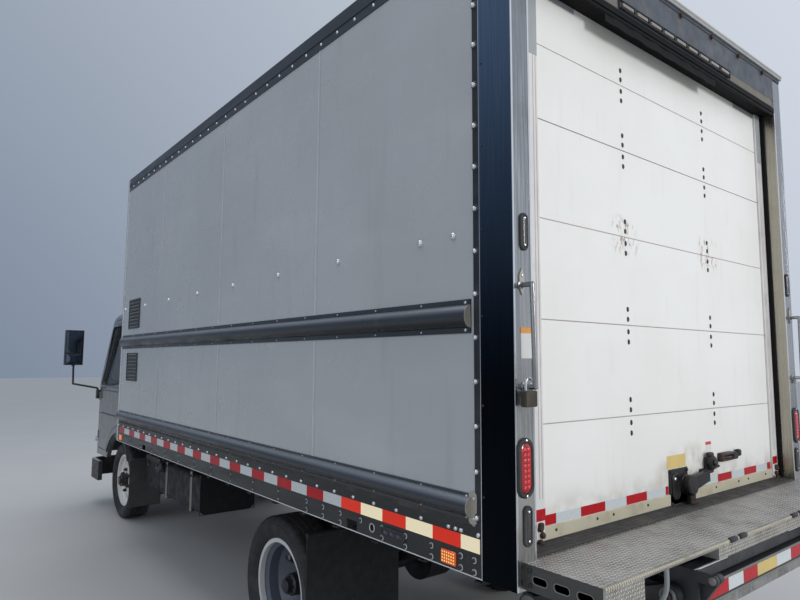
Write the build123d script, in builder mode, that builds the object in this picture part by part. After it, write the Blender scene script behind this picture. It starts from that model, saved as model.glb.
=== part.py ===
from build123d import *

# Low-cab-forward box truck: sixteen-foot van body, roll-up rear door, tread-plate bed
# extension and a tuck-under liftgate. Millimetres, +X forward, +Y left, +Z up.
# The origin is on the ground, on the centreline, halfway along the whole vehicle.

import os

os.makedirs("parts", exist_ok=True)

# Overall layout
wheelbase = 3810
front_overhang = 1095
rear_overhang = 1840
extension_depth = 290
fold_offset = 24
fold_eye_radius = 17
overall_length = (
    front_overhang + wheelbase + rear_overhang + extension_depth + fold_offset + fold_eye_radius
)
tail_x = -overall_length / 2
fold_x = tail_x + fold_eye_radius
extension_x = fold_x + fold_offset
post_x = extension_x + extension_depth
rear_axle_x = post_x + rear_overhang
front_axle_x = rear_axle_x + wheelbase
nose_x = front_axle_x + front_overhang

# Van body
body_length = 4877
body_width = 2440
half_body = body_width / 2
roof_z = 3378
floor_z = 995
floor_thickness = 35
panel_thickness = 20
panel_inset = 4
box_front_x = post_x + body_length
side_rail_bottom = 902
side_rail_top = 1072
rail_wall = 6
rail_flange = 54
top_rail_height = 118
top_rail_width = 70
top_rail_side = 8
top_rail_cap = 12
post_depth = 152
post_width = 100
post_wall = 6
post_flange = 33
corner_depth = 80
corner_radius = 45
opening_top = 3122
header_depth = 85
crossmember_height = 76
crossmember_flange = 45
crossmember_wall = 6
crossmember_pitch = 305
longsill_width = 40
roof_skin = 8
bow_height = 32
bow_width = 40
bow_pitch = 610
rub_rail_proud = 36
rub_rail_flange = 5
rub_rail_start = 205
rub_rail_end_gap = 95
door_setback = 90
door_slab = 25
door_seams = (1418, 1805, 2192, 2583, 2886)
door_groove = 5
extension_top = 990
extension_half_width = 1180
deck_plate = 6

# Ladder frame
frame_top = 810
frame_height = 178
frame_width = 850
frame_flange = 63
frame_wall = 8
frame_tail_gap = 460
frame_nose_gap = 165
half_frame = frame_width / 2
frame_bottom = frame_top - frame_height
frame_tail_x = post_x + frame_tail_gap
frame_nose_x = nose_x - frame_nose_gap
cross_height = 90
cross_width = 70

# Wheels
tyre_radius = 385
tyre_width = 230
bead_radius = 248
bead_half_width = 75.7
rim_half_width = 84
rim_flange_height = 14
rim_well_depth = 22
rim_wall = 8
disc_wall = 14
disc_flat = 134
hub_radius = 62
hand_hole_radius = 26
hand_hole_circle = 174
hand_holes = 6
front_track = 1665
rear_track = 1730
dual_spacing = 286
running_clearance = 0.05

# Axles, knuckles and springs
kingpin_offset = 150
kingpin_radius = 16
fist_radius = 34
fist_half_height = 42
jaw_gap = 2
jaw_height = 34
spindle_radius = 30
knuckle_plate = 20
plate_offset = 38
beam_width = 62
beam_height = 74
beam_drop = 60
steer_arm = 150
tie_rod_radius = 13
tie_pin_radius = 9
tie_eye_radius = 22
tie_eye_height = 20
axle_tube_radius = 58
axle_end_radius = 40
diff_radius = 160
diff_width = 190
spring_width = 66
spring_thickness = 52
spring_half_span = 560
front_spring_y = 394
rear_spring_y = 480
front_eye_z = 565
rear_eye_z = 610

# Cab, with places measured forward from the front axle
cab_back = 635
cab_half_width = 994
cab_nose = 1040
cab_nose_corner = 1003
cab_corner_depth = 133
cab_corner_width = 170
cab_top_half_width = 908
cab_top_z = 2090
cab_screen_top = 690
cab_bottom = 572
cab_belt = 1340
cab_roof = 2285
cab_wall = 45
cab_lean = 0.34
cab_floor_bottom = 875
cab_floor_top = 915
rear_skirt_z = 830
arch_radius = 480
door_arch_radius = 562
door_rear = -330
door_front = 862
door_bottom = 640
door_top = 2105
door_gap = 6
hinge_heights = (790, 1225)
hinge_half_knuckle = 15
hinge_reach = 45
hinge_radius = 9
hinge_pin_radius = 5
hinge_gap = 0.6
sill_rear_z = 1430
sill_front_z = 1365
window_top_z = 2030
window_border = 75
tilt_reach = 945
tilt_z = 600
tilt_pin_radius = 24
glass_inset = 14
glass_thickness = 6
seat_gap = 0.3

# Liftgate
lift_pivot_x = post_x + 470
lift_pivot_z = 575
lift_end_x = post_x - 170
lift_end_z = 805
lift_arm_y = 582
lift_arm_width = 36
lift_arm_height = 80
lift_pin_radius = 22
torsion_radius = 42
fold_z = 886
fold_pin_radius = 9
platform_half_width = 533
beam_stand = 20
platform_beam_depth = 50
platform_bottom = 782
platform_beam_height = 73
platform_length = 590
platform_thickness = 38
flip_gap = 6
flip_thickness = 36
flip_eye_radius = 12
flip_pin_radius = 5

half_front_track = front_track / 2
half_rear_track = rear_track / 2
kingpin_y = half_front_track - kingpin_offset
axle_z = tyre_radius
panel_y = half_body - panel_inset
box_rear_x = post_x + post_depth
box_wall_x = box_front_x - corner_depth
top_rail_z = roof_z - top_rail_height


def block(x, y, z, mode=Mode.ADD):
    """Add or cut a box from its low and high places along each axis."""
    with Locations(((x[0] + x[1]) / 2, (y[0] + y[1]) / 2, (z[0] + z[1]) / 2)):
        Box(abs(x[1] - x[0]), abs(y[1] - y[0]), abs(z[1] - z[0]), mode=mode)


def rod(start, end, radius, mode=Mode.ADD):
    """Add or cut a round bar from one point to another."""
    run = Vector(*end) - Vector(*start)
    with BuildSketch(Plane(origin=start, z_dir=run)) as section:
        Circle(radius)
    extrude(section.sketch, amount=run.length, mode=mode)


def side_prism(outline, y, mode=Mode.ADD):
    """Extrude an outline of (x, z) points from y[0] to y[1]."""
    with BuildSketch(Plane.XZ.offset(-y[1])) as section:
        with BuildLine():
            Polyline(*outline, close=True)
        make_face()
    extrude(section.sketch, amount=y[1] - y[0], mode=mode)


def save(piece, node):
    """Label one finished piece and write its file."""
    piece.label = node
    export_step(piece, f"parts/{node}.step")


# Ladder frame: two channel rails, cross channels and the cab's front pivots
cross_places = (
    frame_tail_x + 60,
    rear_axle_x - 520,
    rear_axle_x + 480,
    rear_axle_x + 1500,
    front_axle_x - 1150,
    front_axle_x + 560,
    frame_nose_x - 60,
)
rail_inside = half_frame - frame_wall
cross_low = frame_bottom + frame_wall + 20
tilt_x = front_axle_x + tilt_reach
tilt_ear_y = (490, 530)
tilt_lug_y = 470
bumper_arm_z = (400, 480)
bumper_back_x = nose_x - 62
with BuildPart() as chassis_frame:
    block((frame_tail_x, frame_nose_x), (half_frame - frame_flange, half_frame), (frame_bottom, frame_top))
    block(
        (frame_tail_x, frame_nose_x),
        (half_frame - frame_flange, rail_inside),
        (frame_bottom + frame_wall, frame_top - frame_wall),
        Mode.SUBTRACT,
    )
    block((tilt_x - 65, tilt_x), (half_frame, tilt_lug_y), (tilt_z - 30, tilt_z + 40))
    rod((tilt_x, half_frame, tilt_z), (tilt_x, tilt_ear_y[1] + 15, tilt_z), tilt_pin_radius)
    block((frame_nose_x - 70, frame_nose_x), (rail_inside, half_frame), (bumper_arm_z[0], frame_bottom))
    block((frame_nose_x - 70, bumper_back_x), (rail_inside, half_frame), bumper_arm_z)
    mirror(about=Plane.XZ)
    for cross_x in cross_places:
        low = (cross_low, cross_low + cross_height)
        hollow = (cross_low + frame_wall, cross_low + cross_height - frame_wall)
        block((cross_x - cross_width / 2, cross_x + cross_width / 2), (-rail_inside, rail_inside), low)
        block(
            (cross_x - cross_width / 2 + frame_wall, cross_x + cross_width / 2),
            (-rail_inside, rail_inside),
            hollow,
            Mode.SUBTRACT,
        )
save(chassis_frame.part, "chassis_frame")

# Front axle: a dropped beam that ends in a fist around each kingpin
beam_z = axle_z - beam_drop
beam_top = beam_z + beam_height / 2
with BuildPart() as front_axle:
    block(
        (front_axle_x - beam_width / 2, front_axle_x + beam_width / 2),
        (-kingpin_y, kingpin_y),
        (beam_z - beam_height / 2, beam_top),
    )
    for face in (-1, 1):
        block(
            sorted((front_axle_x + face * 10, front_axle_x + face * beam_width / 2)),
            (-kingpin_y + 60, kingpin_y - 60),
            (beam_z - beam_height / 2 + 16, beam_top - 16),
            Mode.SUBTRACT,
        )
    for side in (-1, 1):
        pin = side * kingpin_y
        low, high = beam_z - fist_half_height, beam_z + fist_half_height
        rod((front_axle_x, pin, low), (front_axle_x, pin, high), fist_radius)
    for side in (-1, 1):
        pin = side * kingpin_y
        rod(
            (front_axle_x, pin, beam_z - fist_half_height - 1),
            (front_axle_x, pin, beam_z + fist_half_height + 1),
            kingpin_radius + running_clearance,
            Mode.SUBTRACT,
        )
save(front_axle.part, "front_axle")


def knuckle(side):
    """A steering knuckle: two jaws on the kingpin, a plate, a spindle and a steering arm."""
    pin = side * kingpin_y
    low_jaw = beam_z - fist_half_height - jaw_gap
    high_jaw = beam_z + fist_half_height + jaw_gap
    plate_in, plate_out = pin + side * plate_offset, pin + side * (plate_offset + knuckle_plate)
    arm_end = front_axle_x - steer_arm
    with BuildPart(mode=Mode.PRIVATE) as piece:
        for low in (low_jaw - jaw_height, high_jaw):
            rod((front_axle_x, pin, low), (front_axle_x, pin, low + jaw_height), fist_radius)
            block(
                (front_axle_x - fist_radius, front_axle_x + fist_radius),
                sorted((pin, plate_out)),
                (low, low + jaw_height),
            )
        block((front_axle_x - 48, front_axle_x + 48), sorted((plate_in, plate_out)), (low_jaw - jaw_height, axle_z + 48))
        rod((front_axle_x, pin, low_jaw - 1), (front_axle_x, pin, high_jaw + 1), kingpin_radius)
        rod(
            (front_axle_x, plate_out, axle_z),
            (front_axle_x, side * (half_front_track + 95), axle_z),
            spindle_radius,
        )
        block((arm_end, front_axle_x - 20), (pin - 16, pin + 16), (low_jaw - jaw_height, low_jaw - jaw_height + 24))
        rod(
            (arm_end, pin, low_jaw - jaw_height - jaw_gap - tie_eye_height - 6),
            (arm_end, pin, low_jaw),
            tie_pin_radius,
        )
        rod((arm_end, pin, low_jaw - jaw_height), (arm_end, pin, low_jaw - jaw_height + 24), 18)
    return piece.part


save(knuckle(1), "knuckle_left")
save(knuckle(-1), "knuckle_right")

tie_top = beam_z - fist_half_height - jaw_gap - jaw_height - jaw_gap
tie_x = front_axle_x - steer_arm
with BuildPart() as tie_rod:
    middle = tie_top - tie_eye_height / 2
    rod((tie_x, -kingpin_y, middle), (tie_x, kingpin_y, middle), tie_rod_radius - 4)
    rod((tie_x, -kingpin_y + 80, middle), (tie_x, kingpin_y - 80, middle), tie_rod_radius)
    for side in (-1, 1):
        rod((tie_x, side * kingpin_y, tie_top - tie_eye_height), (tie_x, side * kingpin_y, tie_top), tie_eye_radius)
    for side in (-1, 1):
        rod(
            (tie_x, side * kingpin_y, tie_top - tie_eye_height - 1),
            (tie_x, side * kingpin_y, tie_top + 1),
            tie_pin_radius + running_clearance,
            Mode.SUBTRACT,
        )
save(tie_rod.part, "tie_rod")


def leaf_pack(middle_x, spring_y, seat_z, eye_z, hanger_y):
    """Two leaf packs with eyes and hangers, sitting on the axle at seat_z."""
    span = spring_half_span
    for side in (-1, 1):
        ends = sorted((side * (spring_y - spring_width / 2), side * (spring_y + spring_width / 2)))
        with BuildSketch(Plane.XZ.offset(-ends[1])) as section:
            with BuildLine():
                ThreePointArc(
                    (middle_x - span, eye_z - 10), (middle_x, seat_z), (middle_x + span, eye_z - 10)
                )
                Line((middle_x + span, eye_z - 10), (middle_x + span, eye_z + 10))
                ThreePointArc(
                    (middle_x + span, eye_z + 10),
                    (middle_x, seat_z + spring_thickness),
                    (middle_x - span, eye_z + 10),
                )
                Line((middle_x - span, eye_z + 10), (middle_x - span, eye_z - 10))
            make_face()
        extrude(section.sketch, amount=spring_width)
        for end in (-span, span):
            eye_x = middle_x + end
            rod((eye_x, ends[0], eye_z), (eye_x, ends[1], eye_z), 24)
            hanger = sorted((side * hanger_y[0], side * hanger_y[1]))
            block((eye_x - 30, eye_x + 30), hanger, (eye_z, hanger_y[2]))


with BuildPart() as front_springs:
    leaf_pack(
        front_axle_x,
        front_spring_y,
        beam_top,
        front_eye_z,
        (front_spring_y - spring_width / 2, front_spring_y + spring_width / 2, frame_bottom),
    )
save(front_springs.part, "front_springs")

with BuildPart() as rear_springs:
    leaf_pack(
        rear_axle_x,
        rear_spring_y,
        axle_z + axle_tube_radius,
        rear_eye_z,
        (half_frame, rear_spring_y + spring_width / 2, frame_bottom + 90),
    )
save(rear_springs.part, "rear_springs")

# Rear axle: tube, differential case and reduced ends for the wheel bearings
axle_shoulder_y = half_rear_track - 75
axle_reach = half_rear_track + 105
with BuildPart() as rear_axle:
    rod((rear_axle_x, -axle_shoulder_y, axle_z), (rear_axle_x, axle_shoulder_y, axle_z), axle_tube_radius)
    rod((rear_axle_x, -axle_reach, axle_z), (rear_axle_x, axle_reach, axle_z), axle_end_radius)
    rod((rear_axle_x, -diff_width / 2, axle_z), (rear_axle_x, diff_width / 2, axle_z), diff_radius)
    rod((rear_axle_x, 0, axle_z + 15), (rear_axle_x + diff_radius + 90, 0, axle_z + 15), 62)
save(rear_axle.part, "rear_axle")

# Engine and gearbox: one plain mass at its real place and size, with its mounts
engine_x = (front_axle_x - 450, front_axle_x + 350)
gearbox_x = front_axle_x - 1000
gearbox_z = (470, 730)
with BuildPart() as engine_block:
    block(engine_x, (-280, 280), (430, 860))
    block((gearbox_x, engine_x[0]), (-170, 170), gearbox_z)
    for place in (front_axle_x - 330, front_axle_x + 230):
        block((place, place + 70), (-rail_inside, rail_inside), (660, 700))
save(engine_block.part, "engine_block")

# Propeller shaft: a tube with a flange at each end
shaft_front = Vector(gearbox_x, 0, 560)
shaft_rear = Vector(rear_axle_x + diff_radius + 90, 0, axle_z + 15)
with BuildPart() as drive_shaft:
    block((gearbox_x - 22, gearbox_x), (-60, 60), (shaft_front.Z - 60, shaft_front.Z + 60))
    block((shaft_rear.X, shaft_rear.X + 22), (-60, 60), (shaft_rear.Z - 60, shaft_rear.Z + 60))
    rod(
        (shaft_front.X - 11, 0, shaft_front.Z),
        (shaft_rear.X + 11, 0, shaft_rear.Z),
        42,
    )
save(drive_shaft.part, "drive_shaft")

# Fuel tank and battery box hang outside the left rail, the silencer outside the right one
tank_x = (front_axle_x - 2150, front_axle_x - 1150)
with BuildPart() as fuel_tank:
    block(tank_x, (460, 920), (430, 740))
    fillet(fuel_tank.edges().filter_by(Axis.X), 50)
    for place in (tank_x[0] + 180, tank_x[1] - 240):
        block((place, place + 60), (half_frame, 480), (650, 700))
save(fuel_tank.part, "fuel_tank")

battery_x = (front_axle_x - 1030, front_axle_x - 620)
with BuildPart() as battery_box:
    block(battery_x, (455, 880), (440, 720))
    chamfer(battery_box.edges().filter_by(Axis.X).sort_by(Axis.Z)[-2:], 20)
    block((battery_x[0] + 60, battery_x[1] - 60), (half_frame, 455), (650, 700))
save(battery_box.part, "battery_box")

silencer_x = (front_axle_x - 1450, front_axle_x - 700)
silencer_y = -600
silencer_z = 590
with BuildPart() as exhaust:
    rod((silencer_x[0], silencer_y, silencer_z), (silencer_x[1], silencer_y, silencer_z), 125)
    rod((silencer_x[0] - 120, silencer_y, silencer_z), (silencer_x[0], silencer_y, silencer_z), 42)
    rod((silencer_x[0] - 120, silencer_y, silencer_z), (silencer_x[0] - 120, -1010, silencer_z - 90), 42)
    for place in (silencer_x[0] + 120, silencer_x[1] - 180):
        block((place, place + 60), (silencer_y, -half_frame), (silencer_z + 60, silencer_z + 100))
save(exhaust.part, "exhaust")

# Mud flaps on hanger rods behind each wheel
flap_table = (
    # distance behind the axle, axle, inner y, outer y, bottom z, rod z
    (487, front_axle_x, 690, 1000, 200, 655),
    (430, rear_axle_x, 590, 1176, 150, 770),
)
flap_thickness = 8
with BuildPart() as mud_flaps:
    for behind, axle_x, inner, outer, low, rod_z in flap_table:
        flap_x = axle_x - behind
        block((flap_x - flap_thickness, flap_x), (inner, outer), (low, rod_z))
        rod((flap_x - flap_thickness / 2, half_frame, rod_z), (flap_x - flap_thickness / 2, outer, rod_z), 14)
    mirror(about=Plane.XZ)
save(mud_flaps.part, "mud_flaps")


def tyre_profile(middle):
    """Half-section of one tyre around the Y axis, as (radius, y) points from bead to bead."""
    shape = (
        # radius, half width
        (bead_radius + seat_gap, bead_half_width),
        (bead_radius + rim_flange_height + seat_gap, bead_half_width),
        (bead_radius + 30, 96),
        (314, tyre_width / 2),
        (350, 111),
        (374, 99),
        (tyre_radius, 84),
    )
    outer = [(radius, middle + half) for radius, half in shape]
    inner = [(radius, middle - half) for radius, half in reversed(shape)]
    return outer + inner


def ring(points, axle_x, mode=Mode.ADD):
    """Revolve (radius, y) points about the axle line through axle_x."""
    with BuildSketch(Plane(origin=(axle_x, 0, axle_z), x_dir=(0, 0, 1), z_dir=(1, 0, 0))) as section:
        with BuildLine():
            Polyline(*[(radius, -y) for radius, y in points], close=True)
        make_face()
    revolve(section.sketch, axis=Axis((axle_x, 0, axle_z), (0, 1, 0)), mode=mode)


def rim_points(middle):
    """Section of a rim barrel with its flanges and well."""
    well = bead_radius - rim_well_depth
    flange = bead_radius + rim_flange_height
    half = rim_half_width
    return (
        (flange, middle - half),
        (flange, middle - bead_half_width - seat_gap),
        (bead_radius, middle - bead_half_width - seat_gap),
        (bead_radius, middle - 45),
        (well, middle - 32),
        (well, middle + 32),
        (bead_radius, middle + 45),
        (bead_radius, middle + bead_half_width + seat_gap),
        (flange, middle + bead_half_width + seat_gap),
        (flange, middle + half),
        (bead_radius - rim_wall, middle + half),
        (bead_radius - rim_wall, middle + 50),
        (well - rim_wall, middle + 36),
        (well - rim_wall, middle - 36),
        (bead_radius - rim_wall, middle - 50),
        (bead_radius - rim_wall, middle - half),
    )


def hand_hole_cut(axle_x, side, low, high):
    """Cut the round hand holes through a disc between two places across the vehicle."""
    with BuildSketch(Plane(origin=(axle_x, side * low, axle_z), z_dir=(0, side, 0))) as holes:
        with PolarLocations(hand_hole_circle, hand_holes):
            Circle(hand_hole_radius)
    extrude(holes.sketch, amount=high - low, mode=Mode.SUBTRACT)


well_inside = bead_radius - rim_well_depth - rim_wall
front_disc = half_front_track + 24
dual_inner = half_rear_track - dual_spacing / 2
dual_outer = half_rear_track + dual_spacing / 2
rear_dish = dual_spacing / 2 - 18
for side, word in ((1, "left"), (-1, "right")):
    with BuildPart() as front_tyre:
        ring(tyre_profile(side * half_front_track), front_axle_x)
    save(front_tyre.part, f"front_tyre_{word}")

    with BuildPart() as front_rim:
        ring(rim_points(side * half_front_track), front_axle_x)
        ring(
            (
                (spindle_radius + running_clearance, side * (half_front_track - 62)),
                (hub_radius + 24, side * (half_front_track - 62)),
                (hub_radius + 24, side * (front_disc + 6)),
                (disc_flat, side * (front_disc + 22)),
                (well_inside + 4, side * (front_disc - 12)),
                (well_inside + 4, side * (front_disc - 12 + disc_wall)),
                (disc_flat - 4, side * (front_disc + 22 + disc_wall)),
                (hub_radius, side * (front_disc + 20 + disc_wall)),
                (hub_radius, side * (half_front_track + 118)),
                (spindle_radius - 8, side * (half_front_track + 122)),
                (spindle_radius - 8, side * (half_front_track + 100)),
                (spindle_radius + running_clearance, side * (half_front_track + 100)),
            ),
            front_axle_x,
        )
        hand_hole_cut(front_axle_x, side, front_disc - 40, front_disc + 60)
    save(front_rim.part, f"front_rim_{word}")

    with BuildPart() as rear_tyres:
        ring(tyre_profile(side * dual_inner), rear_axle_x)
        ring(tyre_profile(side * dual_outer), rear_axle_x)
    save(rear_tyres.part, f"rear_tyres_{word}")

    with BuildPart() as rear_rims:
        ring(rim_points(side * dual_inner), rear_axle_x)
        ring(rim_points(side * dual_outer), rear_axle_x)
        for turn in (-1, 1):
            ring(
                (
                    (hub_radius, side * half_rear_track),
                    (hub_radius, side * (half_rear_track + turn * disc_wall)),
                    (disc_flat - 4, side * (half_rear_track + turn * disc_wall)),
                    (well_inside + 4, side * (half_rear_track + turn * rear_dish)),
                    (well_inside + 4, side * (half_rear_track + turn * (rear_dish - disc_wall))),
                    (disc_flat, side * half_rear_track),
                ),
                rear_axle_x,
            )
        ring(
            (
                (axle_end_radius + running_clearance, side * (axle_shoulder_y + 6)),
                (hub_radius + 20, side * (axle_shoulder_y + 6)),
                (hub_radius + 20, side * (half_rear_track + 30)),
                (hub_radius, side * (half_rear_track + 30)),
                (hub_radius, side * (axle_reach + 16)),
                (hub_radius - 10, side * (axle_reach + 24)),
                (20, side * (axle_reach + 24)),
                (20, side * (axle_reach + 6)),
                (axle_end_radius + running_clearance, side * (axle_reach + 6)),
            ),
            rear_axle_x,
        )
        hand_hole_cut(rear_axle_x, side, half_rear_track - rear_dish, half_rear_track + rear_dish)
    save(rear_rims.part, f"rear_rims_{word}")

# Front bumper: a bowed beam with returns, carried on the frame's front arms
bumper_z = (300, 505)
bumper_wall = 45
with BuildPart() as front_bumper:
    with BuildSketch(Plane.XY.offset(bumper_z[0])) as bumper_plan:
        with BuildLine():
            Polyline((nose_x - 470, 1030), (nose_x - 170, 1030))
            ThreePointArc((nose_x - 170, 1030), (nose_x - 70, 975), (nose_x - 35, 850))
            ThreePointArc((nose_x - 35, 850), (nose_x, 0), (nose_x - 35, -850))
            ThreePointArc((nose_x - 35, -850), (nose_x - 70, -975), (nose_x - 170, -1030))
            Polyline((nose_x - 170, -1030), (nose_x - 470, -1030), (nose_x - 470, 1030))
        make_face()
        offset(amount=-bumper_wall, mode=Mode.SUBTRACT)
        with Locations((nose_x - 470 + bumper_wall / 2, 0)):
            Rectangle(bumper_wall + 1, 2 * (1030 - bumper_wall), mode=Mode.SUBTRACT)
    extrude(amount=bumper_z[1] - bumper_z[0])
    block((bumper_back_x, nose_x - 20), (-480, 480), bumper_arm_z)
save(front_bumper.part, "front_bumper")


def cab_form(inset):
    """The cab's closed outer form, with every face drawn in by an inset."""
    low_z = 400
    half = cab_half_width
    shoulder_x = cab_nose_corner - cab_corner_depth
    corner_y = half - cab_corner_width
    bend_x = shoulder_x + 0.72 * cab_corner_depth
    bend_y = corner_y + 0.71 * cab_corner_width
    top_half = cab_top_half_width
    top_z = cab_top_z
    with BuildPart(mode=Mode.PRIVATE) as form:
        with BuildSketch(Plane(origin=(front_axle_x, 0, low_z))) as plan:
            with BuildLine():
                Polyline((shoulder_x, half), (-cab_back, half), (-cab_back, -half), (shoulder_x, -half))
                ThreePointArc((shoulder_x, -half), (bend_x, -bend_y), (cab_nose_corner, -corner_y))
                ThreePointArc((cab_nose_corner, -corner_y), (cab_nose, 0), (cab_nose_corner, corner_y))
                ThreePointArc((cab_nose_corner, corner_y), (bend_x, bend_y), (shoulder_x, half))
            make_face()
            fillet(plan.vertices().sort_by(Axis.X)[:2], 60)
            if inset:
                offset(amount=-inset, mode=Mode.REPLACE)
        extrude(amount=cab_belt - low_z)
        upper = [face.moved(Location((0, 0, cab_belt - low_z))) for face in plan.sketch.faces()]
        rise = cab_roof + 100 - cab_belt
        extrude(upper, amount=rise, dir=(-cab_lean, 0, 1))
        with BuildSketch(Plane(origin=(front_axle_x, 1200, 0), x_dir=(1, 0, 0), z_dir=(0, -1, 0))) as side:
            with BuildLine():
                Polyline((1300, 300), (-cab_back, 300), (-cab_back, cab_roof - 90))
                ThreePointArc(
                    (-cab_back, cab_roof - 90), (-cab_back + 26, cab_roof - 26), (-cab_back + 90, cab_roof)
                )
                Line((-cab_back + 90, cab_roof), (cab_screen_top - 290, cab_roof))
                ThreePointArc(
                    (cab_screen_top - 290, cab_roof),
                    (cab_screen_top - 130, cab_roof - 40),
                    (cab_screen_top, cab_roof - 150),
                )
                Polyline((cab_screen_top, cab_roof - 150), (1300, 1500), (1300, 300))
            make_face()
            if inset:
                offset(amount=-inset, mode=Mode.REPLACE)
        extrude(amount=2400, mode=Mode.INTERSECT)
        with BuildSketch(Plane(origin=(front_axle_x - 900, 0, 0), x_dir=(0, 1, 0), z_dir=(1, 0, 0))) as front:
            with BuildLine():
                Polyline((-half, cab_belt), (-half, 300), (half, 300), (half, cab_belt), (top_half, top_z))
                ThreePointArc((top_half, top_z), (top_half - 20, top_z + 60), (top_half - 80, top_z + 100))
                ThreePointArc((top_half - 80, top_z + 100), (0, cab_roof), (80 - top_half, top_z + 100))
                ThreePointArc((80 - top_half, top_z + 100), (20 - top_half, top_z + 60), (-top_half, top_z))
                Line((-top_half, top_z), (-half, cab_belt))
            make_face()
            if inset:
                offset(amount=-inset, mode=Mode.REPLACE)
        extrude(amount=2200, mode=Mode.INTERSECT)
    return form.part


def front_prism(outline, inset, rounding):
    """A prism through the cab's front, from a half outline of (y, z) points on one side or both."""
    with BuildPart(mode=Mode.PRIVATE) as prism:
        with BuildSketch(Plane.YZ.offset(front_axle_x + 250)) as section:
            with BuildLine():
                Polyline(*outline, close=True)
            make_face()
            fillet(section.vertices(), rounding)
            if inset:
                offset(amount=-inset, mode=Mode.REPLACE)
        extrude(amount=900)
    return prism.part


def door_prism(inset, side):
    """A prism through one cab side in the outline of its door."""
    front_top = door_front - cab_lean * (door_top - cab_belt)
    arch_rear_z = axle_z + (door_arch_radius**2 - door_rear**2) ** 0.5
    arch_front_x = (door_arch_radius**2 - (door_bottom - axle_z) ** 2) ** 0.5
    with BuildPart(mode=Mode.PRIVATE) as prism:
        with BuildSketch(Plane(origin=(front_axle_x, side * 1100, 0), x_dir=(1, 0, 0), z_dir=(0, -1, 0))) as section:
            with BuildLine():
                Polyline(
                    (door_rear, arch_rear_z),
                    (door_rear, door_top),
                    (front_top, door_top),
                    (door_front, cab_belt),
                    (door_front, door_bottom),
                    (arch_front_x, door_bottom),
                )
                RadiusArc((arch_front_x, door_bottom), (door_rear, arch_rear_z), -door_arch_radius)
            make_face()
            fillet(section.vertices().group_by(Axis.Z)[-1], 50)
            if inset:
                offset(amount=-inset, kind=Kind.INTERSECTION, mode=Mode.REPLACE)
        extrude(amount=side * 300)
    return prism.part


def window_prism(inset, side):
    """A prism through one cab side in the outline of the door window."""
    lean_at_top = door_front - cab_lean * (window_top_z - cab_belt)
    lean_at_sill = door_front - cab_lean * (sill_front_z - cab_belt)
    with BuildPart(mode=Mode.PRIVATE) as prism:
        with BuildSketch(Plane(origin=(front_axle_x, side * 1100, 0), x_dir=(1, 0, 0), z_dir=(0, -1, 0))) as section:
            with BuildLine():
                Polyline(
                    (door_rear + window_border, sill_rear_z),
                    (door_rear + window_border, window_top_z),
                    (lean_at_top - window_border, window_top_z),
                    (lean_at_sill - window_border, sill_front_z),
                    (lean_at_sill - 420, sill_front_z),
                    close=True,
                )
            make_face()
            fillet(section.vertices(), 30)
            if inset:
                offset(amount=-inset, mode=Mode.REPLACE)
        extrude(amount=side * 300)
    return prism.part


def upright(side, low, high, radius, mode=Mode.ADD):
    """Add or cut a round bar that stands on one door's hinge line."""
    rod((hinge_x, side * cab_half_width, low), (hinge_x, side * cab_half_width, high), radius, mode)


hinge_x = front_axle_x + door_front - door_gap
windshield_outline = ((-868, 1400), (868, 1400), (808, 2120), (-808, 2120))
back_window_outline = ((-430, 1480), (430, 1480), (430, 1960), (-430, 1960))
grille_outline = ((-550, 900), (550, 900), (590, 1120), (-590, 1120))
lamp_outline = ((580, 660), (895, 680), (915, 840), (580, 860))
pocket_depth = 24
outer_form = cab_form(0)
inner_form = cab_form(cab_wall)
pocket_form = cab_form(pocket_depth)
glass_outer = cab_form(glass_inset)
glass_inner = cab_form(glass_inset + glass_thickness)

with BuildPart(mode=Mode.PRIVATE) as cabin_space:
    add(inner_form)
    block((front_axle_x - 1000, front_axle_x + 1200), (-1100, 1100), (cab_floor_top, 2500), Mode.INTERSECT)
with BuildPart(mode=Mode.PRIVATE) as under_space:
    add(inner_form)
    block((front_axle_x - 1000, front_axle_x + 1200), (-1100, 1100), (300, cab_floor_bottom), Mode.INTERSECT)

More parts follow.
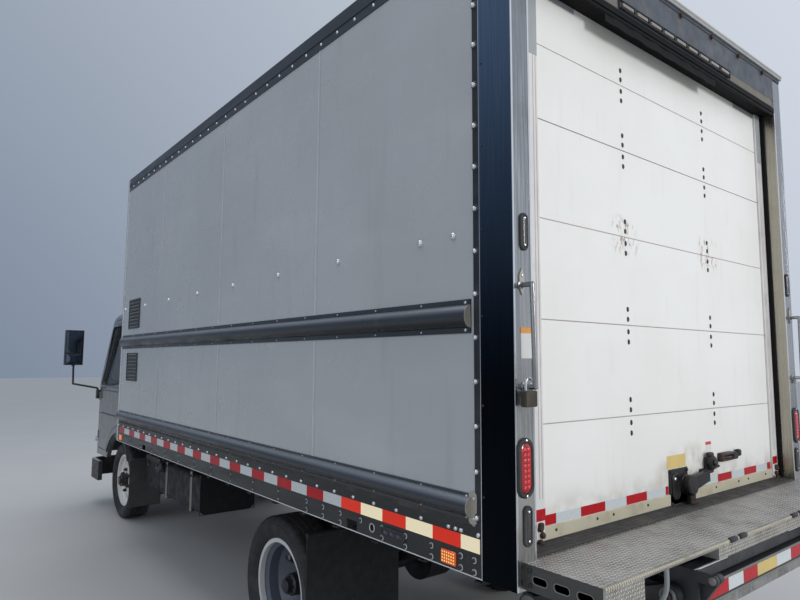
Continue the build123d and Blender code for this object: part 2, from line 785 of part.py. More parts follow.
# Cab shell: one skin with its floor, door openings, window openings and lamp pockets
with BuildPart() as cab_shell:
    add(outer_form)
    block((front_axle_x - 1000, front_axle_x + 1300), (-1100, 1100), (300, cab_bottom), Mode.SUBTRACT)
    add(cabin_space.part, mode=Mode.SUBTRACT)
    add(under_space.part, mode=Mode.SUBTRACT)
    block((front_axle_x - 700, front_axle_x - 200), (-1100, 1100), (cab_bottom, rear_skirt_z), Mode.SUBTRACT)
    rod((front_axle_x, -1100, axle_z), (front_axle_x, 1100, axle_z), arch_radius, Mode.SUBTRACT)
    for side in (-1, 1):
        add(door_prism(0, side), mode=Mode.SUBTRACT)
        for height in hinge_heights:
            low, high = height - hinge_half_knuckle, height + hinge_half_knuckle
            upright(side, low, high, hinge_radius + hinge_gap, Mode.SUBTRACT)
            upright(side, height - hinge_reach, low, hinge_radius)
            upright(side, high, height + hinge_reach, hinge_radius)
            upright(side, low, high, hinge_pin_radius)
    add(front_prism(windshield_outline, 0, 60), mode=Mode.SUBTRACT)
    with BuildSketch(Plane.YZ.offset(front_axle_x - cab_back - 20)) as back_cut:
        with BuildLine():
            Polyline(*back_window_outline, close=True)
        make_face()
        fillet(back_cut.vertices(), 50)
    extrude(amount=100, mode=Mode.SUBTRACT)
    for side in (-1, 1):
        ears = sorted((side * tilt_ear_y[0], side * tilt_ear_y[1]))
        block((tilt_x - 38, tilt_x + 40), ears, (tilt_z - 38, cab_floor_bottom))
    for side in (-1, 1):
        ears = (side * (tilt_ear_y[0] - 5), side * (tilt_ear_y[1] + 5))
        rod(
            (tilt_x, ears[0], tilt_z), (tilt_x, ears[1], tilt_z), tilt_pin_radius + running_clearance, Mode.SUBTRACT
        )
    with BuildPart(mode=Mode.PRIVATE) as pocket_skin:
        add(outer_form)
        add(pocket_form, mode=Mode.SUBTRACT)
    for outline in (grille_outline, lamp_outline, [(-y, z) for y, z in lamp_outline]):
        with BuildPart(mode=Mode.PRIVATE) as pocket:
            add(pocket_skin.part)
            add(front_prism(outline, 0, 20), mode=Mode.INTERSECT)
        add(pocket.part, mode=Mode.SUBTRACT)
save(cab_shell.part, "cab_shell")

# Windscreen and rear window
with BuildPart() as cab_glass:
    add(glass_outer)
    add(glass_inner, mode=Mode.SUBTRACT)
    add(front_prism(windshield_outline, seat_gap, 60), mode=Mode.INTERSECT)
    with BuildSketch(Plane.YZ.offset(front_axle_x - cab_back + glass_inset)) as back_pane:
        with BuildLine():
            Polyline(*back_window_outline, close=True)
        make_face()
        fillet(back_pane.vertices(), 50)
        offset(amount=-seat_gap, mode=Mode.REPLACE)
    extrude(amount=glass_thickness)
save(cab_glass.part, "cab_glass")

grille_slots = 5
grille_pitch = 38
with BuildPart() as grille:
    add(cab_form(4))
    add(pocket_form, mode=Mode.SUBTRACT)
    add(front_prism(grille_outline, seat_gap, 20), mode=Mode.INTERSECT)
    for slot in range(grille_slots):
        slot_z = 924 + slot * grille_pitch
        block((front_axle_x + 900, front_axle_x + 1100), (-520, 520), (slot_z, slot_z + 22), Mode.SUBTRACT)
save(grille.part, "grille")

with BuildPart() as headlamps:
    add(cab_form(3))
    add(pocket_form, mode=Mode.SUBTRACT)
    add(front_prism(lamp_outline, seat_gap, 20), mode=Mode.INTERSECT)
    mirror(about=Plane.XZ)
save(headlamps.part, "headlamps")

# Doors and their glass
for side, word in ((1, "left"), (-1, "right")):
    with BuildPart() as door:
        add(outer_form)
        add(inner_form, mode=Mode.SUBTRACT)
        add(door_prism(door_gap, side), mode=Mode.INTERSECT)
        add(window_prism(0, side), mode=Mode.SUBTRACT)
        for height in hinge_heights:
            low, high = height - hinge_half_knuckle + hinge_gap, height + hinge_half_knuckle - hinge_gap
            upright(side, height - hinge_reach - 1, height + hinge_reach + 1, hinge_radius + hinge_gap, Mode.SUBTRACT)
            upright(side, low, high, hinge_radius)
            block(
                (hinge_x - 2 * hinge_radius, hinge_x - hinge_radius / 2),
                sorted((side * (cab_half_width - cab_wall / 2), side * cab_half_width)),
                (low, high),
            )
            upright(side, low - 1, high + 1, hinge_pin_radius + running_clearance, Mode.SUBTRACT)
    save(door.part, f"door_{word}")
    with BuildPart() as door_glass:
        add(glass_outer)
        add(glass_inner, mode=Mode.SUBTRACT)
        add(window_prism(seat_gap, side), mode=Mode.INTERSECT)
    save(door_glass.part, f"door_glass_{word}")

# Dashboard with the steering column, seats on their base, and the steering wheel
wheel_centre = Vector(front_axle_x + 430, 480, 1390)
column_way = Vector(0.47, 0, -0.8827)
dash_x = (front_axle_x + 640, front_axle_x + 1100)
dash_half_width = 928
with BuildPart() as dashboard:
    add(cab_form(cab_wall + seat_gap))
    block(dash_x, (-dash_half_width, dash_half_width), (1130, cab_belt - 5), Mode.INTERSECT)
    chamfer(dashboard.edges().filter_by(Axis.Y).sort_by(Axis.X)[:2], 30)
    column_top = wheel_centre + column_way * 40
    column_foot = wheel_centre + column_way * 500
    rod(tuple(column_top), tuple(column_foot), 24)
    rod(tuple(wheel_centre + column_way * 5), tuple(column_top), 10)
    block((column_top.X + 60, dash_x[0] + 20), (465, 495), (1150, 1190))
save(dashboard.part, "dashboard")

with BuildPart() as steering_wheel:
    wheel_plane = Plane(origin=wheel_centre, x_dir=(0, 1, 0), z_dir=-column_way)
    with Locations(wheel_plane):
        Torus(205, 15)
    with BuildSketch(wheel_plane.offset(-22)) as hub_section:
        Circle(48)
    extrude(amount=34)
    with BuildSketch(wheel_plane.offset(-8)) as spokes:
        Rectangle(2 * 200, 34)
        with Locations((0, -100)):
            Rectangle(34, 200)
    extrude(amount=14)
    with BuildSketch(wheel_plane.offset(-40)) as shaft_hole:
        Circle(10 + running_clearance)
    extrude(amount=44, mode=Mode.SUBTRACT)
save(steering_wheel.part, "steering_wheel")

seat_base_z = 1095
seat_table = (
    # low y, high y
    (210, 750),
    (-760, 150),
)
with BuildPart() as seat_base:
    block((front_axle_x - 500, front_axle_x + 40), (-800, 800), (cab_floor_top, seat_base_z))
save(seat_base.part, "seat_base")
with BuildPart() as seats:
    for low, high in seat_table:
        block((front_axle_x - 470, front_axle_x + 60), (low, high), (seat_base_z, seat_base_z + 130))
        side_prism(
            (
                (front_axle_x - 470, seat_base_z + 130),
                (front_axle_x - 340, seat_base_z + 130),
                (front_axle_x - 430, seat_base_z + 730),
                (front_axle_x - 530, seat_base_z + 730),
            ),
            (low + 15, high - 15),
        )
save(seats.part, "seats")

# Mirrors: a foot on the front corner, a bent arm and a tall head on each side
mirror_x = front_axle_x + 920
mirror_path = ((1007, 1290), (1022, 1318), (1280, 1372), (1286, 1600))
with BuildPart() as mirrors:
    block((mirror_x - 45, mirror_x + 25), (902, 1024), (1195, 1295))
    add(outer_form, mode=Mode.SUBTRACT)
    for (y0, z0), (y1, z1) in zip(mirror_path[:-1], mirror_path[1:]):
        rod((mirror_x - 10, y0, z0), (mirror_x - 10, y1, z1), 11)
    for y0, z0 in mirror_path[1:-1]:
        with Locations((mirror_x - 10, y0, z0)):
            Sphere(11)
    block((mirror_x - 40, mirror_x + 30), (1195, 1382), (1585, 1985))
    mirror(about=Plane.XZ)
save(mirrors.part, "mirrors")

# Van floor: crossmembers over two long sills, with the boards on top
cross_top = floor_z - floor_thickness
cross_bottom = cross_top - crossmember_height
web_y = half_body - rail_wall
with BuildPart() as floor_frame:
    block(
        (frame_tail_x, box_wall_x - 10),
        (half_frame - longsill_width, half_frame),
        (frame_top, cross_bottom),
    )
    mirror(about=Plane.XZ)
    member_x = box_rear_x
    while member_x + crossmember_flange < box_wall_x:
        block(
            (member_x, member_x + crossmember_flange),
            (-web_y, web_y),
            (cross_bottom, cross_top),
        )
        block(
            (member_x + crossmember_wall, member_x + crossmember_flange + 1),
            (-web_y, web_y),
            (cross_bottom + crossmember_wall, cross_top - crossmember_wall),
            Mode.SUBTRACT,
        )
        member_x += crossmember_pitch
save(floor_frame.part, "floor_frame")

with BuildPart() as cargo_floor:
    inside_y = panel_y - panel_thickness
    block((box_rear_x, box_front_x - panel_thickness), (-inside_y, inside_y), (cross_top, floor_z))
save(cargo_floor.part, "cargo_floor")

# Side rails with an inward top flange, and the rail under the front wall
with BuildPart() as side_rails:
    block((box_rear_x, box_wall_x), (web_y, half_body), (side_rail_bottom, side_rail_top))
    block(
        (box_rear_x, box_wall_x),
        (web_y - rail_flange, web_y),
        (side_rail_top - rail_wall, side_rail_top),
    )
    for low, high in ((0.906, 0.985), (3.95, 4.03)):
        block(
            (post_x + low * 1000, post_x + high * 1000),
            (web_y - 1, half_body + 1),
            (side_rail_bottom - 1, side_rail_bottom + 45),
            Mode.SUBTRACT,
        )
    mirror(about=Plane.XZ)
    block(
        (box_front_x - panel_thickness, box_front_x),
        (-half_body + corner_depth, half_body - corner_depth),
        (side_rail_bottom, side_rail_top),
    )
save(side_rails.part, "side_rails")

# Side panels and front wall
with BuildPart() as side_panels:
    block(
        (box_rear_x, box_wall_x),
        (panel_y - panel_thickness, panel_y),
        (side_rail_top, top_rail_z),
    )
    mirror(about=Plane.XZ)
save(side_panels.part, "side_panels")

with BuildPart() as front_wall:
    block(
        (box_front_x - panel_thickness, box_front_x),
        (-half_body + corner_depth, half_body - corner_depth),
        (side_rail_top, top_rail_z),
    )
save(front_wall.part, "front_wall")

# Rounded front corner posts
with BuildPart() as front_corners:
    with BuildSketch(Plane.XY.offset(side_rail_bottom)) as corner_plan:
        with Locations((box_front_x - corner_depth / 2, half_body - corner_depth / 2)):
            Rectangle(corner_depth, corner_depth)
        fillet(corner_plan.vertices().sort_by(Axis.X)[-2:].sort_by(Axis.Y)[-1:], corner_radius)
        with Locations(
            (
                box_front_x - corner_depth / 2 - panel_thickness / 2,
                half_body - corner_depth / 2 - panel_thickness / 2,
            )
        ):
            Rectangle(
                corner_depth - panel_thickness, corner_depth - panel_thickness, mode=Mode.SUBTRACT
            )
    extrude(amount=roof_z - side_rail_bottom)
    mirror(about=Plane.XZ)
save(front_corners.part, "front_corners")

# Top rails: an angle along each side and across the front
with BuildPart() as top_rails:
    block((box_rear_x, box_wall_x), (half_body - top_rail_width, half_body), (top_rail_z, roof_z))
    block(
        (box_rear_x, box_wall_x),
        (half_body - top_rail_width, half_body - top_rail_side),
        (top_rail_z, roof_z - top_rail_cap),
        Mode.SUBTRACT,
    )
    mirror(about=Plane.XZ)
    front_reach = half_body - corner_depth
    block((box_front_x - top_rail_width, box_front_x), (-front_reach, front_reach), (top_rail_z, roof_z))
    block(
        (box_front_x - top_rail_width, box_front_x - panel_thickness),
        (-front_reach, front_reach),
        (top_rail_z, roof_z - top_rail_cap),
        Mode.SUBTRACT,
    )
save(top_rails.part, "top_rails")

# Roof sheet on its bows, between the top rails
roof_half = half_body - top_rail_width
roof_front_x = box_front_x - top_rail_width
sheet_top = roof_z - 4
with BuildPart() as roof:
    block((box_rear_x, roof_front_x), (-roof_half, roof_half), (sheet_top - roof_skin, sheet_top))
    bow_x = box_rear_x + 60
    while bow_x + bow_width < roof_front_x:
        block(
            (bow_x, bow_x + bow_width),
            (-roof_half, roof_half),
            (sheet_top - roof_skin - bow_height, sheet_top - roof_skin),
        )
        bow_x += bow_pitch
save(roof.part, "roof")

# Rear frame: hollow corner posts with side flanges, header and sill
opening_half = half_body - post_width
with BuildPart() as rear_frame:
    block((post_x, box_rear_x), (opening_half, half_body), (side_rail_bottom, roof_z))
    block(
        (post_x + post_wall, box_rear_x - post_wall),
        (opening_half + post_wall, half_body - post_wall),
        (side_rail_bottom - 1, roof_z - post_wall),
        Mode.SUBTRACT,
    )
    block(
        (box_rear_x, box_rear_x + post_flange),
        (panel_y, half_body),
        (side_rail_top, top_rail_z),
    )
    mirror(about=Plane.XZ)
    block((post_x, post_x + header_depth), (-opening_half, opening_half), (opening_top, roof_z))
    block(
        (post_x + post_wall, post_x + header_depth + 1),
        (-opening_half, opening_half),
        (opening_top + post_wall, roof_z - top_rail_cap),
        Mode.SUBTRACT,
    )
    block((post_x, box_rear_x), (-opening_half, opening_half), (roof_z - top_rail_cap, roof_z))
    block((post_x, box_rear_x), (-opening_half, opening_half), (side_rail_bottom, floor_z))
    block(
        (post_x + post_wall, box_rear_x + 1),
        (-opening_half, opening_half),
        (side_rail_bottom - 1, floor_z - post_wall),
        Mode.SUBTRACT,
    )
save(rear_frame.part, "rear_frame")

# Rub rails: a flange with a half-round bump, two on each side
rub_table = (
    # middle z, half height, half height of the bump
    (1810, 62, 42),
    (1136, 46, 36),
)
rub_x = (post_x + rub_rail_start, box_front_x - rub_rail_end_gap)
with BuildPart() as rub_rails:
    for middle, half, bump in rub_table:
        with BuildSketch(Plane.YZ.offset(rub_x[0])):
            with BuildLine():
                face_y = panel_y + rub_rail_flange
                Polyline((face_y, middle - bump), (face_y, middle - half), (panel_y, middle - half))
                Polyline((panel_y, middle - half), (panel_y, middle + half), (face_y, middle + half))
                Line((face_y, middle + half), (face_y, middle + bump))
                ThreePointArc(
                    (face_y, middle + bump), (panel_y + rub_rail_proud, middle), (face_y, middle - bump)
                )
            make_face()
        extrude(amount=rub_x[1] - rub_x[0])
    mirror(about=Plane.XZ)
save(rub_rails.part, "rub_rails")

# Louvred vents near the front of each side
vent_table = (
    # low x from the rear face, high x, low z, high z
    (4290, 4610, 1928, 2192),
    (4300, 4610, 1461, 1708),
)
vent_proud = 8
vent_border = 14
slat_pitch = 31
with BuildPart() as side_vents:
    for low_x, high_x, low_z, high_z in vent_table:
        block((post_x + low_x, post_x + high_x), (panel_y, panel_y + vent_proud), (low_z, high_z))
        slat_z = low_z + vent_border
        while slat_z + slat_pitch / 2 < high_z:
            block(
                (post_x + low_x + vent_border, post_x + high_x - vent_border),
                (panel_y + 2, panel_y + vent_proud + 1),
                (slat_z, slat_z + slat_pitch / 2),
                Mode.SUBTRACT,
            )
            slat_z += slat_pitch
    mirror(about=Plane.XZ)
save(side_vents.part, "side_vents")

# Roll-up door, stored shut: one curtain of panels with a groove at each seam
door_x = (post_x + door_setback, post_x + door_setback + door_slab)
curtain_half = opening_half - seat_gap
curtain_z = (floor_z + seat_gap, opening_top + 120)
with BuildPart() as roll_door:
    block(door_x, (-curtain_half, curtain_half), curtain_z)
    for seam in door_seams:
        for face_x in door_x:
            block(
                (face_x - door_groove, face_x + door_groove),
                (-curtain_half - 1, curtain_half + 1),
                (seam - 2, seam + 2),
                Mode.SUBTRACT,
            )
save(roll_door.part, "roll_door")

# Latch in the middle of the door's bottom panel, and its pull handle
latch_x = door_x[0]
with BuildPart() as door_latch:
    block((latch_x - 10, latch_x), (-86, 82), (999, 1163))
    block((latch_x - 48, latch_x - 10), (-62, 30), (1010, 1150))
    block((latch_x - 34, latch_x - 10), (-215, -62), (1090, 1122))
    block((latch_x - 10, latch_x), (-250, -190), (1072, 1180))
    rod((latch_x - 30, -40, 1150), (latch_x - 30, -40, 1195), 14)
    block((latch_x - 30, latch_x), (-660, -440), (1160, 1184))
save(door_latch.part, "door_latch")

# Lamps on the rear posts and header, and markers along the side rails
with BuildPart() as tail_lamps:
    for side in (-1, 1):
        with BuildSketch(Plane.YZ.offset(post_x - 12)) as lens:
            with Locations((side * (half_body - post_width / 2 + 1), 1294)):
                SlotCenterToCenter(118, 80, rotation=90)
        extrude(amount=12)
save(tail_lamps.part, "tail_lamps")

slim_lamps = (
    # middle z on the post's rear face
    2094,
    1104,
)
marker_table = (
    # low x from the rear face, high x, low z, high z
    (282, 358, 915, 964),
    (568, 728, 928, 968),
    (4660, 4730, 918, 966),
)
header_strip_half = 520
with BuildPart() as marker_lamps:
    for side in (-1, 1):
        for lamp_z in slim_lamps:
            with BuildSketch(Plane.YZ.offset(post_x - 8)) as slim:
                with Locations((side * (half_body - post_width / 2), lamp_z)):
                    SlotCenterToCenter(92, 38, rotation=90)
            extrude(amount=8)
    for low_x, high_x, low_z, high_z in marker_table:
        block((post_x + low_x, post_x + high_x), (half_body, half_body + 7), (low_z, high_z))
        block((post_x + low_x, post_x + high_x), (-half_body - 7, -half_body), (low_z, high_z))
    block((post_x - 18, post_x), (-header_strip_half, header_strip_half), (3148, 3176))
save(marker_lamps.part, "marker_lamps")

# Grab rods beside the door, one on each post
grab_path = (
    # x behind the post face, y, z
    (0, 1182, 1906),
    (50, 1182, 1906),
    (50, 1172, 1562),
    (0, 1172, 1562),
)
grab_radius = 9
with BuildPart() as grab_rods:
    points = [(post_x - back, y, z) for back, y, z in grab_path]
    for start, end in zip(points[:-1], points[1:]):
        rod(start, end, grab_radius)
    for point in points[1:-1]:
        with Locations(point):
            Sphere(grab_radius)
    mirror(about=Plane.XZ)
save(grab_rods.part, "grab_rods")

# Bed extension behind the sill: deck plate, side plates with slots, rear lips
deck_low = extension_top - deck_plate
lip_table = (
    # inner y, outer y, bottom z
    (0, 450, 932),
    (450, 955, 972),
    (955, extension_half_width, 906),
)
skirt_bottom = 906
extension_ribs = (260, lip_table[0][1] - deck_plate, lip_table[1][1])
with BuildPart() as bed_extension:
    block((extension_x, post_x), (-extension_half_width, extension_half_width), (deck_low, extension_top))
    for side in (-1, 1):
        for inner, outer, lip_bottom in lip_table:
            lip = sorted((side * inner, side * outer))
            block((extension_x, extension_x + deck_plate), lip, (lip_bottom, deck_low))
        plate = sorted((side * (extension_half_width - deck_plate), side * extension_half_width))
        block((extension_x, post_x), plate, (skirt_bottom, deck_low))
        with BuildSketch(Plane.XZ.offset(-side * extension_half_width - 20)) as slots:
            for slot in range(3):
                with Locations((extension_x + 60 + slot * 85, 946)):
                    SlotCenterToCenter(34, 22)
        extrude(amount=40, mode=Mode.SUBTRACT)
        for rib_y in extension_ribs:
            rib = sorted((side * rib_y, side * (rib_y + deck_plate)))
            block((extension_x + deck_plate, post_x), rib, (lip_table[0][2], deck_low))
    block((post_x - 10, post_x), (-extension_half_width, extension_half_width), (skirt_bottom, deck_low))
save(bed_extension.part, "bed_extension")

# Liftgate brackets under the frame's tail
hanger_plate_y = (452, 480)
with BuildPart() as lift_hangers:
    block((frame_tail_x, frame_tail_x + 150), (half_frame, hanger_plate_y[1]), (frame_bottom + 20, frame_top - 10))
    block(
        (lift_pivot_x - 75, lift_pivot_x + 140),
        hanger_plate_y,
        (lift_pivot_z - 60, frame_top - 10),
    )
    rod(
        (lift_pivot_x, hanger_plate_y[0] - 5, lift_pivot_z),
        (lift_pivot_x, hanger_plate_y[1] + 5, lift_pivot_z),
        torsion_radius + running_clearance,
        Mode.SUBTRACT,
    )
    mirror(about=Plane.XZ)
save(lift_hangers.part, "lift_hangers")

# Liftgate arms: two bars on one torsion tube
arm_low_y = lift_arm_y - lift_arm_width / 2
arm_high_y = lift_arm_y + lift_arm_width / 2
arm_run = Vector(lift_end_x - lift_pivot_x, 0, lift_end_z - lift_pivot_z)
arm_side = Vector(-arm_run.Z, 0, arm_run.X).normalized() * (lift_arm_height / 2)
arm_start = Vector(lift_pivot_x, 0, lift_pivot_z)
arm_end = Vector(lift_end_x, 0, lift_end_z)
arm_outline = [
    (corner.X, corner.Z)
    for corner in (arm_start + arm_side, arm_end + arm_side, arm_end - arm_side, arm_start - arm_side)
]
with BuildPart() as lift_arms:
    rod((lift_pivot_x, -arm_high_y, lift_pivot_z), (lift_pivot_x, arm_high_y, lift_pivot_z), torsion_radius)
    for side in (-1, 1):
        ends = sorted((side * arm_low_y, side * arm_high_y))
        side_prism(arm_outline, ends)
        rod((lift_pivot_x, ends[0], lift_pivot_z), (lift_pivot_x, ends[1], lift_pivot_z), 58)
        rod((lift_end_x, ends[0], lift_end_z), (lift_end_x, ends[1], lift_end_z), 42)
    for side in (-1, 1):
        ends = sorted((side * (arm_low_y - 5), side * (arm_high_y + 5)))
        rod(
            (lift_end_x, ends[0], lift_end_z),
            (lift_end_x, ends[1], lift_end_z),
            lift_pin_radius + running_clearance,
            Mode.SUBTRACT,
        )
save(lift_arms.part, "lift_arms")

# Crossbar on the arm ends, with the pins of the platform's hinge
crossbar_x = (extension_x + 40, extension_x + 92)
crossbar_z = (864, 908)
carrier_plate_y = (platform_half_width + 5, platform_half_width + 25)
fold_ear_y = (platform_half_width - 28, platform_half_width)
with BuildPart() as lift_crossbar:
    block(crossbar_x, (-carrier_plate_y[1], carrier_plate_y[1]), crossbar_z)
    block((extension_x + 30, lift_end_x + 34), carrier_plate_y, (lift_end_z - 34, crossbar_z[1]))
    rod((lift_end_x, carrier_plate_y[0], lift_end_z), (lift_end_x, arm_high_y + 6, lift_end_z), lift_pin_radius)
    block((fold_x, crossbar_x[0]), carrier_plate_y, (fold_z - fold_eye_radius, fold_z + fold_eye_radius))
    rod((fold_x, carrier_plate_y[0], fold_z), (fold_x, carrier_plate_y[1], fold_z), fold_eye_radius)
    rod((fold_x, fold_ear_y[0] - 4, fold_z), (fold_x, carrier_plate_y[1], fold_z), fold_pin_radius)
    mirror(about=Plane.XZ)
save(lift_crossbar.part, "lift_crossbar")

# Platform, folded forward under the bed: a deep rear beam, its deck and hinge ears
beam_x = (extension_x + beam_stand, extension_x + beam_stand + platform_beam_depth)
platform_end_x = beam_x[0] + platform_length
flip_x = platform_end_x + 14
flip_z = platform_bottom - flip_gap / 2
beam_top_z = platform_bottom + platform_beam_height
with BuildPart() as lift_platform:
    block(beam_x, (-platform_half_width, platform_half_width), (platform_bottom, beam_top_z))
    block(
        (beam_x[1], platform_end_x),
        (-platform_half_width, platform_half_width),
        (platform_bottom, platform_bottom + platform_thickness),
    )
    for side in (-1, 1):
        ears = sorted((side * fold_ear_y[0], side * fold_ear_y[1]))
        side_prism(
            (
                (fold_x - fold_eye_radius, fold_z),
                (beam_x[0], platform_bottom + 16),
                (beam_x[0], beam_top_z - 4),
                (fold_x + fold_eye_radius, fold_z),
            ),
            ears,
        )
        rod((fold_x, ears[0], fold_z), (fold_x, ears[1], fold_z), fold_eye_radius)
        flips = sorted((side * 300, side * 340))
        block((platform_end_x, flip_x), flips, (platform_bottom, flip_z + flip_eye_radius))
        rod((flip_x, flips[0], flip_z), (flip_x, flips[1], flip_z), flip_eye_radius)
        rod((flip_x, side * 300, flip_z), (flip_x, side * 386, flip_z), flip_pin_radius)
    for side in (-1, 1):
        rod(
            (fold_x, side * (fold_ear_y[0] - 5), fold_z),
            (fold_x, side * (fold_ear_y[1] + 5), fold_z),
            fold_pin_radius + running_clearance,
            Mode.SUBTRACT,
        )
save(lift_platform.part, "lift_platform")

# Flip-over section, folded below the platform
flip_top = platform_bottom - flip_gap
with BuildPart() as lift_flipover:
    block(
        (beam_x[0] + 10, platform_end_x),
        (-platform_half_width + 6, platform_half_width - 6),
        (flip_top - flip_thickness, flip_top),
    )
    for side in (-1, 1):
        flips = sorted((side * 345, side * 384))
        block((platform_end_x, flip_x), flips, (flip_z - flip_eye_radius, flip_top))
        rod((flip_x, flips[0], flip_z), (flip_x, flips[1], flip_z), flip_eye_radius)
    for side in (-1, 1):
        rod(
            (flip_x, side * 340, flip_z),
            (flip_x, side * 390, flip_z),
            flip_pin_radius + running_clearance,
            Mode.SUBTRACT,
        )
save(lift_flipover.part, "lift_flipover")
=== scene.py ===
import math

import bmesh
import bpy
from mathutils import Matrix, Vector


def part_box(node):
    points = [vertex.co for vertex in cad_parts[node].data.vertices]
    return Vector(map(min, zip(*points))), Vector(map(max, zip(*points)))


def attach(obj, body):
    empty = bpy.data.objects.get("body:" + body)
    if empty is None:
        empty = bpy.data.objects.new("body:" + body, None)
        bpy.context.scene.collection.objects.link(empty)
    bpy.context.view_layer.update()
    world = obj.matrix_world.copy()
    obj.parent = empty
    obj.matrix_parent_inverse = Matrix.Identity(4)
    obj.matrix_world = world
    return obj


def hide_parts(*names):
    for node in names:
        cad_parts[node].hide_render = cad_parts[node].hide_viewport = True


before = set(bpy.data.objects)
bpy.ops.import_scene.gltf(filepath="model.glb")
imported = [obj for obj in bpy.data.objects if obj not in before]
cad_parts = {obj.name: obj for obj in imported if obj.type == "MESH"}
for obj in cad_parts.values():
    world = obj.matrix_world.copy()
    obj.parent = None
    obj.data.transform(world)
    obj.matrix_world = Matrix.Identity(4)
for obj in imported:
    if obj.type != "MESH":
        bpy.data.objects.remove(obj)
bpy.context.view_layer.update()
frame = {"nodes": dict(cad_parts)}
nodes = frame["nodes"]
scene = bpy.context.scene

# Directions, and pairs of them that span a face; the pair's cross product points out of it
ahead, left, up = (1, 0, 0), (0, 1, 0), (0, 0, 1)
rear, right, down = (-1, 0, 0), (0, -1, 0), (0, 0, -1)
rear_face, left_face, front_face, top_face = (right, up), (rear, up), (left, up), (ahead, left)
sides = (1, -1)
words = {1: "left", -1: "right"}

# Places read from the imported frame, in metres: +X forward, +Y left, +Z up
post_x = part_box("rear_frame")[0].x
half_body, roof_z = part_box("rear_frame")[1].y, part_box("rear_frame")[1].z
post_end_x = post_x + 0.152
panel_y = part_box("side_panels")[1].y
wall_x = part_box("side_rails")[1].x - 0.08
box_front_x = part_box("front_corners")[1].x
rail_low, rail_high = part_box("side_rails")[0].z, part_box("side_rails")[1].z
top_rail_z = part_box("top_rails")[0].z
floor_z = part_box("cargo_floor")[1].z
door_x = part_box("roll_door")[0].x
deck_low, deck_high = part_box("bed_extension")
deck_top, deck_half = deck_high.z, deck_high.y
tyre_low, tyre_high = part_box("front_tyre_left")
duals_low, duals_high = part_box("rear_tyres_left")
front_axle_x, rear_axle_x = (tyre_low.x + tyre_high.x) / 2, (duals_low.x + duals_high.x) / 2
front_tyre_y, rear_tyre_y = (tyre_low.y + tyre_high.y) / 2, (duals_low.y + duals_high.y) / 2
axle_z, tyre_radius = (tyre_low.z + tyre_high.z) / 2, (tyre_high.z - tyre_low.z) / 2
dual_spacing = duals_high.y - duals_low.y - (tyre_high.y - tyre_low.y)
cab_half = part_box("door_left")[1].y
belt_z, cab_lean, side_lean = 1.34, 0.34, 0.1147
door_seams = (2.886, 2.583, 2.192, 1.805, 1.418)


def add_object(name, data):
    """Put a new object into the scene."""
    made = bpy.data.objects.new(name, data)
    scene.collection.objects.link(made)
    return made


def place_camera():
    """Stand the camera behind the left rear corner, as solved from the body's edges."""
    place = Vector((post_x - 1.378, half_body + 1.589, 1.645))
    yaw, pitch, roll = math.radians(38.61), math.radians(5.68), math.radians(0.27)
    way = Vector((math.cos(yaw) * math.cos(pitch), -math.sin(yaw) * math.cos(pitch), math.sin(pitch)))
    level = way.cross(Vector(up)).normalized()
    upright = level.cross(way)
    across = level * math.cos(roll) + upright * math.sin(roll)
    above = upright * math.cos(roll) - level * math.sin(roll)
    camera = add_object("camera", bpy.data.cameras.new("camera"))
    camera.data.sensor_width = 36
    camera.data.lens = 27.75
    camera.matrix_world = Matrix.Translation(place) @ Matrix((across, above, -way)).transposed().to_4x4()
    scene.camera = camera


